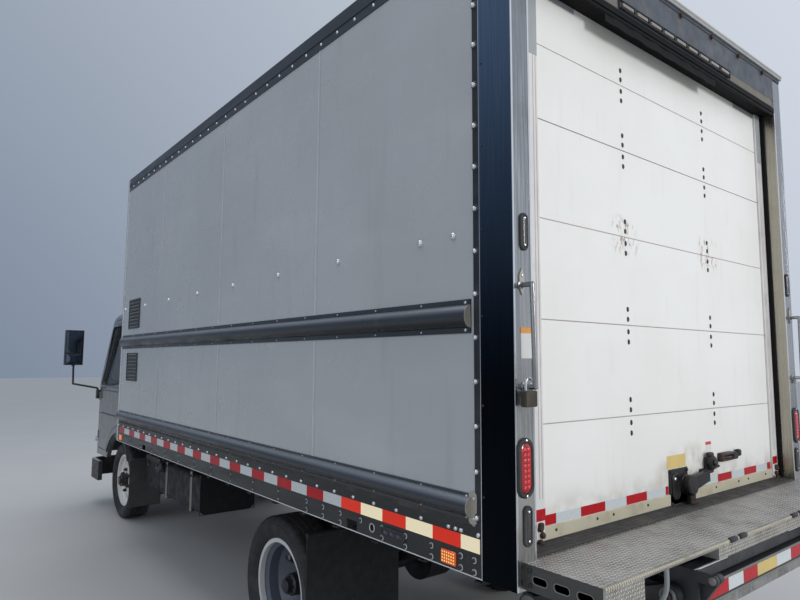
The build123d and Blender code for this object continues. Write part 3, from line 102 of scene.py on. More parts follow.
# Materials
class Finish:
    """A procedural material: a shader whose colour, roughness and bump come from noise in object space."""

    def __init__(self, name, colour, roughness, metallic=0.0, glow=None, **sockets):
        self.material = bpy.data.materials.new(name)
        self.material.use_nodes = True
        self.nodes = self.material.node_tree.nodes
        self.links = self.material.node_tree.links
        self.shader = self.nodes["Principled BSDF"]
        self.set(Base_Color=(*colour, 1), Roughness=roughness, Metallic=metallic, **sockets)
        if glow is not None:
            self.set(Emission_Color=(*colour, 1), Emission_Strength=glow)
        self.colour, self.tint, self.height = colour, None, None
        self.place = self.nodes.new("ShaderNodeTexCoord").outputs["Object"]

    def set(self, node=None, **sockets):
        """Set a node's inputs by name; the shader's if no node is given."""
        for socket, value in sockets.items():
            (node or self.shader).inputs[socket.replace("_", " ")].default_value = value

    def add(self, kind, inputs=(), **settings):
        """Add a node, set its properties and link or set its inputs by position."""
        node = self.nodes.new("ShaderNode" + kind)
        for key, value in settings.items():
            setattr(node, key, value)
        for index, value in enumerate(inputs):
            if isinstance(value, bpy.types.NodeSocket):
                self.links.new(value, node.inputs[index])
            else:
                node.inputs[index].default_value = value
        return node

    def at(self, stretch=(1, 1, 1)):
        """Object coordinates, stretched."""
        mapping = self.add("Mapping", (self.place,))
        self.set(mapping, Scale=stretch)
        return mapping.outputs[0]

    def noise(self, scale, detail=4.0, stretch=(1, 1, 1), rough=0.55):
        """Noise from 0 to 1."""
        node = self.add("TexNoise", (self.at(stretch),))
        self.set(node, Scale=scale, Detail=detail, Roughness=rough)
        return node.outputs["Fac"]

    def wave(self, direction, scale):
        """Even bands across one direction."""
        node = self.add("TexWave", (self.at(),), wave_type="BANDS", bands_direction=direction)
        self.set(node, Scale=scale)
        return node.outputs[1]

    def step(self, source, low, high, out_low=0.0, out_high=1.0):
        """Map a value smoothly from one range to another."""
        return self.add("MapRange", (source, low, high, out_low, out_high), interpolation_type="SMOOTHSTEP").outputs[0]

    def sum(self, operation, first, second=0.5):
        """One arithmetic step."""
        return self.add("Math", (first, second), operation=operation).outputs[0]

    def times(self, first, second):
        """The product of two values."""
        return self.sum("MULTIPLY", first, second)

    def axis(self, letter, origin=None):
        """One object coordinate, counted from an origin if there is one."""
        place = self.add("SeparateXYZ", (self.place,)).outputs[letter]
        return place if origin is None else self.sum("SUBTRACT", place, origin)

    def away(self, letter, origin=None):
        """The distance along one axis, whichever way."""
        return self.sum("ABSOLUTE", self.axis(letter, origin))

    def square(self, first, second):
        """The sum of two squares."""
        return self.sum("ADD", self.times(first, first), self.times(second, second))

    def facing(self):
        """How far the surface faces up, from -1 to 1."""
        return self.add("SeparateXYZ", (self.add("NewGeometry").outputs["Normal"],)).outputs["Z"]

    def paint(self, colour, amount):
        """Mix a colour over what is there, by an amount from 0 to 1."""
        node = self.add("Mix", data_type="RGBA")
        if self.tint is None:
            node.inputs[6].default_value = (*self.colour, 1)
        else:
            self.links.new(self.tint, node.inputs[6])
        node.inputs[7].default_value = (*colour, 1)
        self.links.new(amount, node.inputs[0])
        self.tint = node.outputs[2]
        self.links.new(self.tint, self.shader.inputs["Base Color"])

    def mottle(self, colour, scale, low=0.35, high=0.65, share=1.0, detail=4.0, stretch=(1, 1, 1)):
        """Paint a second colour in soft patches."""
        self.paint(colour, self.step(self.noise(scale, detail, stretch), low, high, 0.0, share))

    def gloss(self, source, low, high):
        """Roughness from a value between 0 and 1."""
        self.links.new(self.step(source, 0.25, 0.75, low, high), self.shader.inputs["Roughness"])

    def relief(self, source, strength, distance):
        """Add bump from a height."""
        node = self.add("Bump")
        self.set(node, Strength=strength, Distance=distance)
        self.links.new(source, node.inputs["Height"])
        if self.height is not None:
            self.links.new(self.height, node.inputs["Normal"])
        self.height = node.outputs[0]
        self.links.new(self.height, self.shader.inputs["Normal"])


def painted(name, colour, roughness, metallic=0.0, share=0.15, dirt=(0.2, 0.18, 0.15)):
    """Paint or plain metal with soft patches, uneven gloss and a fine surface."""
    finish = Finish(name, colour, roughness, metallic)
    finish.mottle([channel * 0.8 for channel in colour], 2.5, share=0.6)
    finish.mottle(dirt, 9, 0.5, 0.8, share, 6)
    finish.gloss(finish.noise(14), roughness * 0.8, min(1.0, roughness * 1.3))
    finish.relief(finish.noise(60), 0.15, 0.001)
    return finish


def panel_finish(name):
    """Glossy reinforced-plastic side panels, in gentle waves and with faint wash streaks."""
    finish = Finish(name, (0.45, 0.465, 0.475), 0.2, Coat_Weight=0.3, Coat_Roughness=0.12)
    finish.mottle((0.41, 0.425, 0.43), 0.9, share=0.8)
    finish.mottle((0.52, 0.53, 0.535), 1.6, 0.5, 0.75, 0.4, stretch=(0.5, 1, 2.2))
    finish.mottle((0.27, 0.27, 0.26), 6, 0.55, 0.85, 0.35, 7, (2.0, 1, 0.25))
    finish.gloss(finish.noise(3), 0.16, 0.34)
    finish.relief(finish.noise(1.1, 1), 0.25, 0.03)
    finish.relief(finish.noise(90, 2), 0.06, 0.001)
    return finish


def door_finish(name):
    """White door panels: grime towards the bottom, rust at one row of bolts and a smear by the latch."""
    finish = Finish(name, (0.86, 0.845, 0.795), 0.38)
    finish.mottle((0.82, 0.8, 0.745), 1.8, share=0.7)
    finish.mottle((0.66, 0.63, 0.57), 7, 0.55, 0.85, 0.3, 7, (1, 3, 0.4))
    low = finish.step(finish.axis("Z"), floor_z + 0.22, floor_z)
    finish.paint((0.42, 0.38, 0.31), finish.times(low, finish.step(finish.noise(12), 0.35, 0.7, 0.2, 0.9)))
    speck = finish.step(finish.noise(46, 8, (1, 1, 0.45), 0.7), 0.51, 0.6)
    for bolt_y in (0.372, -0.398):
        beside = finish.step(finish.away("Y", bolt_y), 0.125, 0.045)
        level = finish.step(finish.away("Z", 2.2), 0.1, 0.04)
        spot = finish.times(finish.times(beside, level), speck)
        finish.paint((0.28, 0.13, 0.06), finish.times(spot, 0.85))
    square = finish.square(finish.axis("Y", -0.1), finish.times(finish.axis("Z", 1.1), 1.8))
    smear = finish.times(finish.step(square, 0.12, 0.02), finish.step(finish.noise(9, 7), 0.4, 0.65))
    finish.paint((0.5, 0.42, 0.31), finish.times(smear, 0.8))
    finish.gloss(finish.noise(5), 0.3, 0.5)
    finish.relief(finish.noise(2.2, 2), 0.12, 0.01)
    return finish


def stainless_finish(name):
    """Brushed stainless steel posts: outer flanks painted blue as a sky reflection and near black towards the bottom as
    painted shade, warm jambs, and a dull header and foot.
    """
    finish = Finish(name, (0.24, 0.25, 0.262), 0.26, 1.0, Anisotropic=0.4)
    brush = finish.noise(160, 3, (1, 1, 0.02))
    finish.paint((0.31, 0.325, 0.34), finish.step(brush, 0.35, 0.7, 0.0, 0.6))
    finish.mottle((0.15, 0.148, 0.14), 5, 0.5, 0.8, 0.5, 6)
    finish.paint((0.5, 0.49, 0.46), finish.step(finish.axis("Z"), 2.2, 1.1, 0.0, 0.85))
    across = finish.away("Y")
    flank = finish.step(across, half_body - 0.0012, half_body - 0.0006)
    lower = finish.step(finish.axis("Z"), 3.2, 1.5)
    # painted reflection: the posts' outer side faces are tinted sky blue
    finish.paint((0.14, 0.2, 0.29), flank)
    # painted shade: the outer side faces go near black towards the bottom
    finish.paint((0.003, 0.005, 0.008), finish.times(flank, lower))
    finish.paint((0.36, 0.335, 0.28), finish.step(across, half_body - 0.0994, half_body - 0.0998))
    middle = finish.step(across, half_body - 0.0995, half_body - 0.1005)
    top = finish.step(finish.axis("Z"), 3.1205, 3.1215)
    finish.paint((0.15, 0.165, 0.185), finish.times(middle, top))
    finish.gloss(brush, 0.18, 0.34)
    finish.relief(brush, 0.04, 0.0005)
    return finish


def pitch_finish(name):
    """Near-black rubber and paint, darker and less glossy than black rubber: painted shade for parts, gaps and holes
    that lie in shade.
    """
    finish = Finish(name, (0.006, 0.006, 0.0065), 0.7, Specular_IOR_Level=0.15)
    finish.mottle((0.012, 0.011, 0.01), 8, 0.45, 0.75, 0.7, 6)
    finish.relief(finish.noise(120), 0.2, 0.0008)
    return finish


def rail_finish(name, colour, dust):
    """Dark aluminium rails, with a painted highlight on faces that look up and painted shade on faces that look down.
    """
    finish = Finish(name, colour, 0.3, 0.55)
    finish.mottle([channel * 0.7 for channel in colour], 2, share=0.8, stretch=(0.3, 1, 3))
    finish.mottle((0.16, 0.155, 0.145), 10, 0.58, 0.85, dust, 7)
    facing = finish.facing()
    # painted highlight on upward faces and painted shade on downward faces, chosen by the surface normal
    finish.paint((0.3, 0.32, 0.35), finish.step(facing, 0.15, 0.75, 0.0, 0.75))
    finish.paint((0.012, 0.013, 0.016), finish.step(facing, -0.1, -0.6, 0.0, 0.85))
    finish.gloss(finish.noise(18, stretch=(0.2, 1, 1)), 0.22, 0.42)
    finish.relief(finish.noise(40, stretch=(0.1, 1, 1)), 0.08, 0.001)
    return finish


def tread_finish(name):
    """Worn, dirty tread plate; its outward side faces are painted darker as shade."""
    finish = Finish(name, (0.33, 0.325, 0.31), 0.42, 0.75)
    finish.mottle((0.17, 0.165, 0.15), 7, 0.4, 0.7, 0.8, 7)
    finish.mottle((0.5, 0.49, 0.47), 22, 0.5, 0.75, 0.5, 5)
    finish.mottle((0.2, 0.13, 0.08), 15, 0.66, 0.8, 0.5, 8)
    finish.gloss(finish.noise(35), 0.3, 0.6)
    finish.relief(finish.noise(120), 0.2, 0.0008)
    # painted shade: the side plates' outward faces are darker
    finish.paint((0.1, 0.1, 0.095), finish.step(finish.away("Y"), deck_half - 0.0015, deck_half - 0.0005))
    return finish


def cab_finish(name):
    """Silver-grey metallic paint with fine flakes and a clear coat."""
    finish = Finish(name, (0.165, 0.172, 0.175), 0.32, 0.55, Coat_Weight=0.6, Coat_Roughness=0.08)
    finish.mottle((0.2, 0.208, 0.212), 900, 0.45, 0.6, 0.6, 1)
    finish.mottle((0.13, 0.13, 0.128), 3, 0.5, 0.8, 0.3)
    finish.gloss(finish.noise(12), 0.26, 0.4)
    finish.relief(finish.noise(500, 1), 0.03, 0.0004)
    return finish


def rubber_finish(name, colour, roughness):
    """Dull rubber with a dusty bloom."""
    finish = Finish(name, colour, roughness)
    finish.mottle([channel + 0.05 for channel in colour], 6, 0.45, 0.75, 0.7, 7)
    finish.gloss(finish.noise(20), roughness * 0.85, min(1.0, roughness * 1.15))
    finish.relief(finish.noise(150), 0.25, 0.0008)
    return finish


def flap_finish(name):
    """Mud flaps: dusty grey rubber in front; the flaps behind the rear wheels are painted near black as shade."""
    finish = rubber_finish(name, (0.05, 0.049, 0.046), 0.65)
    # painted shade: the flaps behind the rear wheels go near black
    finish.paint((0.004, 0.0045, 0.005), finish.step(finish.axis("X"), 0.3, -0.3, 0.0, 0.95))
    return finish


def wood_finish(name):
    """Laminated hardwood boards along the van body, each a little different, with darker worn patches."""
    finish = Finish(name, (0.36, 0.22, 0.12), 0.55)
    board = finish.add("TexWhiteNoise", noise_dimensions="1D")
    boards = finish.times(finish.axis("Y"), 28.0)
    finish.links.new(finish.sum("FLOOR", boards), board.inputs["W"])
    finish.paint((0.22, 0.12, 0.06), finish.step(board.outputs[0], 0.2, 1.0, 0.0, 0.7))
    finish.mottle((0.44, 0.29, 0.17), 6, share=0.6, detail=7, stretch=(0.15, 6, 1))
    finish.mottle((0.16, 0.13, 0.1), 2, 0.5, 0.75, 0.5, 6)
    finish.relief(finish.step(finish.sum("FRACT", boards), 0.0, 0.06), 0.5, 0.002)
    return finish


def tape_finish(name, colour, glow):
    """Reflective tape: a fine moulded cell pattern under a clear face, which throws light back; where a glow is given,
    it is a painted highlight.
    """
    finish = Finish(name, colour, 0.28, 0.1, glow, Specular_IOR_Level=0.25)
    cells = finish.add("TexVoronoi", (finish.at(),), feature="DISTANCE_TO_EDGE")
    finish.set(cells, Scale=220)
    finish.paint([channel * 0.75 for channel in colour], finish.step(cells.outputs[0], 0.0, 0.12, 0.8, 0.0))
    finish.mottle((0.3, 0.27, 0.23), 12, 0.6, 0.85, 0.25, 7)
    finish.relief(cells.outputs[0], 0.2, 0.0006)
    return finish


def lens_finish(name, colour, glow):
    """A ribbed lamp lens, lit a little from within by its reflector."""
    finish = Finish(name, colour, 0.12, 0.0, glow, Coat_Weight=0.6, Coat_Roughness=0.05)
    ribs = finish.wave("Z", 42)
    finish.paint([min(1.0, channel * 1.5) for channel in colour], finish.step(ribs, 0.4, 0.9, 0, 0.7))
    finish.relief(ribs, 0.4, 0.001)
    return finish


def glass_finish(name, colour, alpha):
    """Thin window glass, slightly dusty."""
    finish = Finish(name, colour, 0.04, Alpha=alpha, Specular_IOR_Level=0.8)
    finish.mottle([channel + 0.06 for channel in colour], 3, 0.5, 0.8, 0.5)
    finish.gloss(finish.noise(6), 0.02, 0.1)
    return finish


def cloth_finish(name):
    """Dark woven seat cloth."""
    finish = Finish(name, (0.06, 0.062, 0.068), 0.85, Sheen_Weight=0.35)
    weave = finish.times(finish.wave("Y", 260), finish.wave("DIAGONAL", 260))
    finish.paint((0.12, 0.12, 0.13), finish.step(weave, 0.2, 0.9, 0.0, 0.6))
    finish.mottle((0.09, 0.085, 0.08), 4, 0.5, 0.8, 0.5)
    finish.relief(weave, 0.4, 0.001)
    return finish


def wheel_finish(name, colour, axle_x, dish_y):
    """White wheel paint with brake dust, a greasy hub, and painted shade in dark blue-grey inside a dish that ends at
    dish_y.
    """
    finish = Finish(name, colour, 0.35)
    finish.mottle((0.62, 0.6, 0.55), 5, 0.4, 0.75, 0.6, 6)
    finish.mottle((0.3, 0.2, 0.12), 22, 0.62, 0.8, 0.5, 8)
    radius = finish.sum("SQRT", finish.square(finish.axis("X", axle_x), finish.axis("Z", axle_z)))
    # painted shade: dark blue-grey inside the dish
    finish.paint((0.09, 0.105, 0.135), finish.step(finish.away("Y"), dish_y, dish_y - 0.004))
    finish.paint((0.03, 0.026, 0.022), finish.step(radius, 0.078, 0.07))
    finish.gloss(finish.noise(14), 0.28, 0.5)
    finish.relief(finish.noise(60), 0.15, 0.001)
    return finish


finish_table = (
    # maker, then each finish's name and what the maker needs
    (panel_finish, {"panel": ()}),
    (door_finish, {"door_white": ()}),
    (stainless_finish, {"stainless": ()}),
    (pitch_finish, {"pitch": ()}),
    (tread_finish, {"tread_plate": ()}),
    (cab_finish, {"cab_paint": ()}),
    (flap_finish, {"flap_rubber": ()}),
    (wood_finish, {"floor_wood": ()}),
    (cloth_finish, {"seat_fabric": ()}),
    (rail_finish, {
        "dark_rail": ((0.07, 0.078, 0.09), 0.4),
        "side_rail": ((0.045, 0.047, 0.047), 0.3),
    }),
    (wheel_finish, {
        "rim_white": ((0.78, 0.78, 0.75), front_axle_x, 0.0),
        "rim_shaded": ((0.6, 0.61, 0.62), rear_axle_x, rear_tyre_y + 0.2),
    }),
    (glass_finish, {
        "window_glass": ((0.03, 0.035, 0.038), 0.55),
        "smoked_visor": ((0.012, 0.012, 0.014), 0.88),
    }),
    (rubber_finish, {
        # colour, roughness
        "tyre": ((0.018, 0.018, 0.019), 0.7),
        "black_rubber": ((0.03, 0.03, 0.03), 0.7),
        "black_plastic": ((0.022, 0.022, 0.024), 0.45),
        "dash_grey": ((0.05, 0.05, 0.053), 0.6),
    }),
    (tape_finish, {
        # colour, glow
        "tape_red": ((0.5, 0.005, 0.012), 0.0),
        # highlit copies of the red and white tape: a paler, warmer colour and a glow as painted highlight
        "tape_red_highlit": ((0.72, 0.03, 0.012), 0.3),
        "tape_white": ((0.66, 0.7, 0.7), 0.0),
        "tape_white_highlit": ((0.85, 0.74, 0.5), 0.4),
    }),
    (lens_finish, {
        # colour, glow
        "red_lens": ((0.22, 0.001, 0.004), 0.08),
        "amber_lens": ((0.85, 0.22, 0.03), 0.35),
        "amber_base": ((0.75, 0.1, 0.015), 0.2),
        "amber_dot": ((0.95, 0.6, 0.12), 0.7),
        "blue_lens": ((0.012, 0.018, 0.04), 0.0),
        "clear_lens": ((0.5, 0.52, 0.53), 0.0),
        "dark_lens": ((0.03, 0.028, 0.028), 0.0),
        "lens_beige": ((0.15, 0.13, 0.1), 0.0),
        "red_bulb": ((0.75, 0.012, 0.018), 0.2),
    }),
    (painted, {
        # colour, roughness, metallic, share of dirt, colour of dirt
        "chassis_black": ((0.01, 0.01, 0.011), 0.6, 0.0, 0.2, (0.05, 0.042, 0.034)),
        "lift_steel": ((0.03, 0.03, 0.033), 0.45, 0.0, 0.3, (0.16, 0.12, 0.09)),
        "grey_steel": ((0.26, 0.25, 0.23), 0.45, 0.6, 0.35),
        "engine_metal": ((0.2, 0.2, 0.2), 0.5, 0.8, 0.4),
        "exhaust_steel": ((0.3, 0.26, 0.22), 0.45, 0.9, 0.5, (0.2, 0.1, 0.05)),
        "bright_aluminium": ((0.62, 0.63, 0.64), 0.3, 0.9, 0.2),
        "chrome": ((0.75, 0.76, 0.77), 0.16, 1.0, 0.1),
        "roof_sheet": ((0.55, 0.56, 0.555), 0.42, 0.0, 0.45, (0.26, 0.245, 0.21)),
        "latch_black": ((0.022, 0.02, 0.02), 0.4, 0.3, 0.35, (0.14, 0.08, 0.05)),
        "latch_rusty": ((0.055, 0.03, 0.025), 0.5, 0.3, 0.6, (0.2, 0.07, 0.04)),
        "lock_body": ((0.075, 0.064, 0.05), 0.4, 0.7, 0.3),
        "bolt_dark": ((0.05, 0.052, 0.058), 0.35, 0.7, 0.2),
        "header_tan": ((0.15, 0.135, 0.105), 0.5, 0.2, 0.5),
        "header_grey": ((0.065, 0.076, 0.092), 0.5, 0.1, 0.35),
        "reveal": ((0.42, 0.39, 0.33), 0.45, 0.3, 0.4),
        "tape_grey": ((0.36, 0.38, 0.38), 0.5, 0.0, 0.2),
        "label_white": ((0.74, 0.73, 0.69), 0.45, 0.0, 0.3),
        "label_yellow": ((0.72, 0.53, 0.18), 0.45, 0.0, 0.35),
        "label_orange": ((0.8, 0.33, 0.06), 0.45, 0.0, 0.3),
        "label_red": ((0.62, 0.05, 0.05), 0.4, 0.0, 0.2),
        "seam_light": ((0.58, 0.6, 0.62), 0.4, 0.0, 0.3),
        "seam_line": ((0.5, 0.39, 0.35), 0.6, 0.0, 0.4),
        "seam_dark": ((0.16, 0.14, 0.13), 0.6, 0.0, 0.4),
        "strip_light": ((0.72, 0.74, 0.75), 0.35, 0.0, 0.2),
        "mirror_glass": ((0.1, 0.13, 0.18), 0.06, 0.9, 0.05),
        "rust": ((0.055, 0.027, 0.019), 0.8, 0.0, 0.5, (0.13, 0.055, 0.03)),
        "door_rail": ((0.56, 0.51, 0.37), 0.45, 0.0, 0.7, (0.3, 0.24, 0.15)),
        "door_channel": ((0.74, 0.72, 0.69), 0.4, 0.0, 0.4, (0.4, 0.36, 0.3)),
        "sill_dark": ((0.05, 0.048, 0.046), 0.6, 0.3, 0.5, (0.2, 0.17, 0.13)),
        "tread_bar": ((0.66, 0.64, 0.6), 0.36, 0.7, 0.4, (0.25, 0.2, 0.15)),
        "nosing": ((0.6, 0.54, 0.42), 0.45, 0.2, 0.5, (0.22, 0.17, 0.12)),
        "plate_blank": ((0.6, 0.6, 0.58), 0.4, 0.0, 0.2),
        "cab_trim": ((0.1, 0.105, 0.11), 0.35, 0.3, 0.2),
        "dial_black": ((0.012, 0.012, 0.013), 0.2, 0.0, 0.1),
    }),
)
materials = {name: maker(name, *values).material for maker, rows in finish_table for name, values in rows.items()}

# Every carried-over node gets its finish
node_finishes = {
    "chassis_black": "chassis_frame front_axle front_springs rear_axle rear_springs drive_shaft fuel_tank battery_box"
                     " floor_frame knuckle_left knuckle_right tie_rod",
    "engine_metal": "engine_block",
    "exhaust_steel": "exhaust",
    "flap_rubber": "mud_flaps",
    "black_plastic": "front_bumper side_vents grille dashboard seat_base mirrors steering_wheel",
    "floor_wood": "cargo_floor",
    "dark_rail": "top_rails rub_rails",
    "side_rail": "side_rails",
    "panel": "side_panels front_wall",
    "bright_aluminium": "front_corners",
    "roof_sheet": "roof",
    "stainless": "rear_frame grab_rods",
    "door_white": "roll_door",
    "latch_black": "door_latch",
    "red_lens": "tail_lamps",
    "amber_lens": "marker_lamps",
    "tread_plate": "bed_extension lift_flipover",
    "lift_steel": "lift_hangers lift_arms lift_crossbar lift_platform",
    "cab_paint": "cab_shell door_left door_right",
    "window_glass": "cab_glass door_glass_left door_glass_right",
    "clear_lens": "headlamps",
    "seat_fabric": "seats",
    "tyre": "front_tyre_left front_tyre_right rear_tyres_left rear_tyres_right",
    "rim_white": "front_rim_left front_rim_right",
    "rim_shaded": "rear_rims_left rear_rims_right",
}
for finish_name, members in node_finishes.items():
    for member in members.split():
        nodes[member].data.materials.clear()
        nodes[member].data.materials.append(materials[finish_name])


# Shapes are gathered as points and faces, in place, and become one object
class Shape:
    """A mesh being built from simple closed parts, each with its own finish."""

    def __init__(self):
        self.points, self.faces, self.finishes, self.paints = [], [], [], []

    def use(self, finish):
        """The index of a finish among this shape's materials."""
        if finish not in self.finishes:
            self.finishes.append(finish)
        return self.finishes.index(finish)

    def put(self, points, faces, finish):
        """Add points, with equal ones joined, and the faces between them."""
        places, numbers = {}, []
        for point in points:
            key = tuple(round(value, 6) for value in point)
            if key not in places:
                places[key] = len(self.points)
                self.points.append(Vector(point))
            numbers.append(places[key])
        for face in faces:
            corners = list(dict.fromkeys(numbers[index] for index in face))
            if len(corners) > 2:
                self.faces.append(corners)
                self.paints.append(self.use(finish))

    def mirror(self):
        """Add everything so far once more on the truck's other side."""
        count = len(self.points)
        self.points += [Vector((point.x, -point.y, point.z)) for point in self.points]
        self.faces += [[count + index for index in reversed(face)] for face in self.faces]
        self.paints += self.paints
        return self

    def box(self, low, high, finish, bevel=0.0):
        """A box between two corners, with its edges bevelled if asked."""
        low, high = Vector(map(min, low, high)), Vector(map(max, low, high))
        if not bevel:
            corners = [(x, y, z) for x in (low.x, high.x) for y in (low.y, high.y) for z in (low.z, high.z)]
            walls = ((0, 1, 3, 2), (4, 6, 7, 5), (0, 4, 5, 1), (2, 3, 7, 6), (0, 2, 6, 4), (1, 5, 7, 3))
            self.put(corners, walls, finish)
            return
        bevel = min(bevel, *(0.49 * (high - low)[axis] for axis in range(3)))
        half = (high - low) / 2
        self.pads((low + high) / 2, top_face, (
            (half.x - bevel, half.y - bevel, 0.0, -half.z), (half.x, half.y, bevel, bevel - half.z),
            (half.x, half.y, bevel, half.z - bevel), (half.x - bevel, half.y - bevel, 0.0, half.z),
        ), finish, 1)

    def bars(self, low, high, finish, bevel, *places):
        """The same box at several places."""
        for place in places:
            self.box(Vector(low) + Vector(place), Vector(high) + Vector(place), finish, bevel)

    def pads(self, origin, face, rows, finish, steps=5):
        """Stack rounded oblongs from rows of (half width, half height, corner radius, distances out)."""
        origin, across, rise = Vector(origin), Vector(face[0]).normalized(), Vector(face[1]).normalized()
        out = across.cross(rise)
        self.loft([
            [origin + across * a + rise * b + out * reach for a, b in oblong(wide, high, radius, steps)]
            for wide, high, radius, *reaches in rows for reach in reaches
        ], finish)

    def loft(self, rings, finish, wrap=False):
        """Join rings of as many points each; the ends are capped, or else joined to each other."""
        count, last = len(rings[0]), len(rings) - 1
        faces = []
        for level in range(len(rings) if wrap else last):
            here, there = level * count, (level + 1) % len(rings) * count
            for index in range(count):
                after = (index + 1) % count
                faces.append((here + index, here + after, there + after, there + index))
        if not wrap:
            faces += [tuple(reversed(range(count))), tuple(range(last * count, (last + 1) * count))]
        self.put([point for ring in rings for point in ring], faces, finish)

    def lathe(self, centre, axis, profile, finish, sides=16):
        """Turn rows of (radius, distances along the axis) about an axis through a centre."""
        axis = Vector(axis).normalized()
        across = axis.orthogonal().normalized()
        other = axis.cross(across)
        self.loft([
            [Vector(centre) + axis * along + (across * c + other * s) * radius for c, s in circle(sides)]
            for radius, *distances in profile for along in distances
        ], finish)

    def rod(self, start, end, radius, finish, sides=12):
        """A round bar with slightly broken edges."""
        way = Vector(end) - Vector(start)
        edge = min(radius, way.length) * 0.2
        profile = ((radius - edge, 0), (radius, edge), (radius, way.length - edge), (radius - edge, way.length))
        self.lathe(start, way, profile, finish, sides)

    def dome(self, centre, axis, radius, height, finish, sides=10):
        """A round-headed rivet or bolt that stands on a surface."""
        self.lathe(centre, axis, (
            (radius, -0.0005), (radius, height * 0.12), (radius * 0.86, height * 0.6), (radius * 0.5, height * 0.9),
            (radius * 0.12, height),
        ), finish, sides)

    def nut(self, centre, axis, radius, height, finish):
        """A hexagon bolt head with a chamfered top."""
        self.lathe(centre, axis, ((radius, -0.0005), (radius, height * 0.8), (radius * 0.8, height)), finish, 6)

    def tube(self, points, radius, finish, sides=10, bend=0.0, steps=5):
        """A round tube along a path, its corners turned as arcs of about the bend radius."""
        path = rounded(points, bend, steps) if bend else [Vector(point) for point in points]
        rings, across = [], None
        for before, point, after in zip(path[:1] + path[:-1], path, path[1:] + path[-1:]):
            way = (after - before).normalized()
            across = way.orthogonal() if across is None else across - way * across.dot(way)
            across.normalize()
            other = way.cross(across)
            rings.append([point + (across * c + other * s) * radius for c, s in circle(sides)])
        self.loft(rings, finish)

    def sheet(self, outline, thickness, finish):
        """A flat plate from an outline of points, thickened along a vector."""
        base = [Vector(point) for point in outline]
        self.loft([base, [point + Vector(thickness) for point in base]], finish)

    def flip(self, side):
        """Move everything so far to the truck's other side if side is -1."""
        for point in self.points:
            point.y *= side
        return self

    def make(self, name, body, slot, angle=35, replaces=()):
        """Finish the object: name it, give it its materials and let it ride."""
        mesh = bpy.data.meshes.new(name)
        mesh.from_pydata(self.points, [], self.faces)
        for finish in self.finishes:
            mesh.materials.append(materials[finish])
        mesh.polygons.foreach_set("material_index", self.paints)
        mesh.polygons.foreach_set("use_smooth", [True] * len(mesh.polygons))
        piece = add_object(name, mesh)
        fix_normals(mesh)
        mesh.set_sharp_from_angle(angle=math.radians(angle))
        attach(piece, body)
        if replaces:
            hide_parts(*replaces)
        return piece


def circle(count, start=0.0):
    """Cosine and sine of evenly spaced turns, the first moved on by a share of one space."""
    turns = [2 * math.pi * (index + start) / count for index in range(count)]
    return [(math.cos(turn), math.sin(turn)) for turn in turns]


def oblong(half_width, half_height, radius, steps):
    """The outline of a rectangle with round corners, around its middle."""
    radius = min(radius, half_width, half_height)
    points = []
    for corner, (side_a, side_b) in enumerate(((1, 1), (-1, 1), (-1, -1), (1, -1))):
        for step in range(steps + 1):
            turn = math.pi / 2 * (corner + step / steps)
            a = side_a * (half_width - radius) + radius * math.cos(turn)
            b = side_b * (half_height - radius) + radius * math.sin(turn)
            points.append((a, b))
    return points


def fix_normals(mesh):
    """Turn every closed part's faces outward."""
    build = bmesh.new()
    build.from_mesh(mesh)
    bmesh.ops.recalc_face_normals(build, faces=build.faces)
    build.to_mesh(mesh)
    build.free()


def rounded(points, bend, steps):
    """A path whose corners are rounded by quadratic arcs that start a bend length away."""
    points = [Vector(point) for point in points]
    path = [points[0]]
    for before, corner, after in zip(points[:-2], points[1:-1], points[2:]):
        first = corner + (before - corner).normalized() * min(bend, (before - corner).length * 0.49)
        last = corner + (after - corner).normalized() * min(bend, (after - corner).length * 0.49)
        for index in range(steps + 1):
            share = index / steps
            path.append(first.lerp(corner, share).lerp(corner.lerp(last, share), share))
    return path + [points[-1]]


def spread(start, end, pitch):
    """Evenly pitched places from start up to end."""
    place = start
    while place <= end + 1e-6:
        yield place
        place += pitch


# Side details: seams, studs, rivets, tape and rub rail fixings
def side_panel_details():
    """Panel seams and the row of studs at mid height."""
    shape = Shape()
    for x in (1.292, 2.512, 3.731):
        place = (post_x + x, panel_y, 0)
        shape.bars((-0.006, 0, rail_high), (0.012, 0.0012, top_rail_z), "panel", 0, place)
        shape.bars((0.002, 0, rail_high), (0.0105, 0.0022, top_rail_z), "seam_light", 0, place)
    for x in (4.75, 4.146, 3.531, 2.921, 2.31, 1.7, 1.09, 0.484, 0.292):
        shape.dome((post_x + x, panel_y, 2.116), left, 0.0155, 0.015, "chrome", 14)
    shape.mirror().make("panel_seams_and_studs", "chassis", "box_panel")


def corner_strips():
    """The dark strip between each panel and the rear post, with its carriage bolts and washers."""
    shape = Shape()
    edge, face = post_end_x, half_body
    shape.box((edge + 0.001, face, rail_high), (edge + 0.033, face + 0.0015, top_rail_z), "bolt_dark")
    shape.box((edge - 0.001, face - 0.001, rail_low), (edge + 0.002, face + 0.003, roof_z - 0.002), "chrome")
    for z in spread(1.106, 3.14, 0.1561):
        shape.lathe((edge + 0.02, face, z), left, ((0.016, 0.0005, 0.003), (0.013, 0.005)), "bolt_dark", 12)
        shape.dome((edge + 0.02, face + 0.004, z), left, 0.0102, 0.0125, "chrome", 12)
    for z in spread(1.18, 3.2, 0.3122):
        shape.dome((post_x + 0.143, face, z), left, 0.0045, 0.004, "bolt_dark", 8)
    shape.mirror().make("corner_strips", "chassis", "stainless")


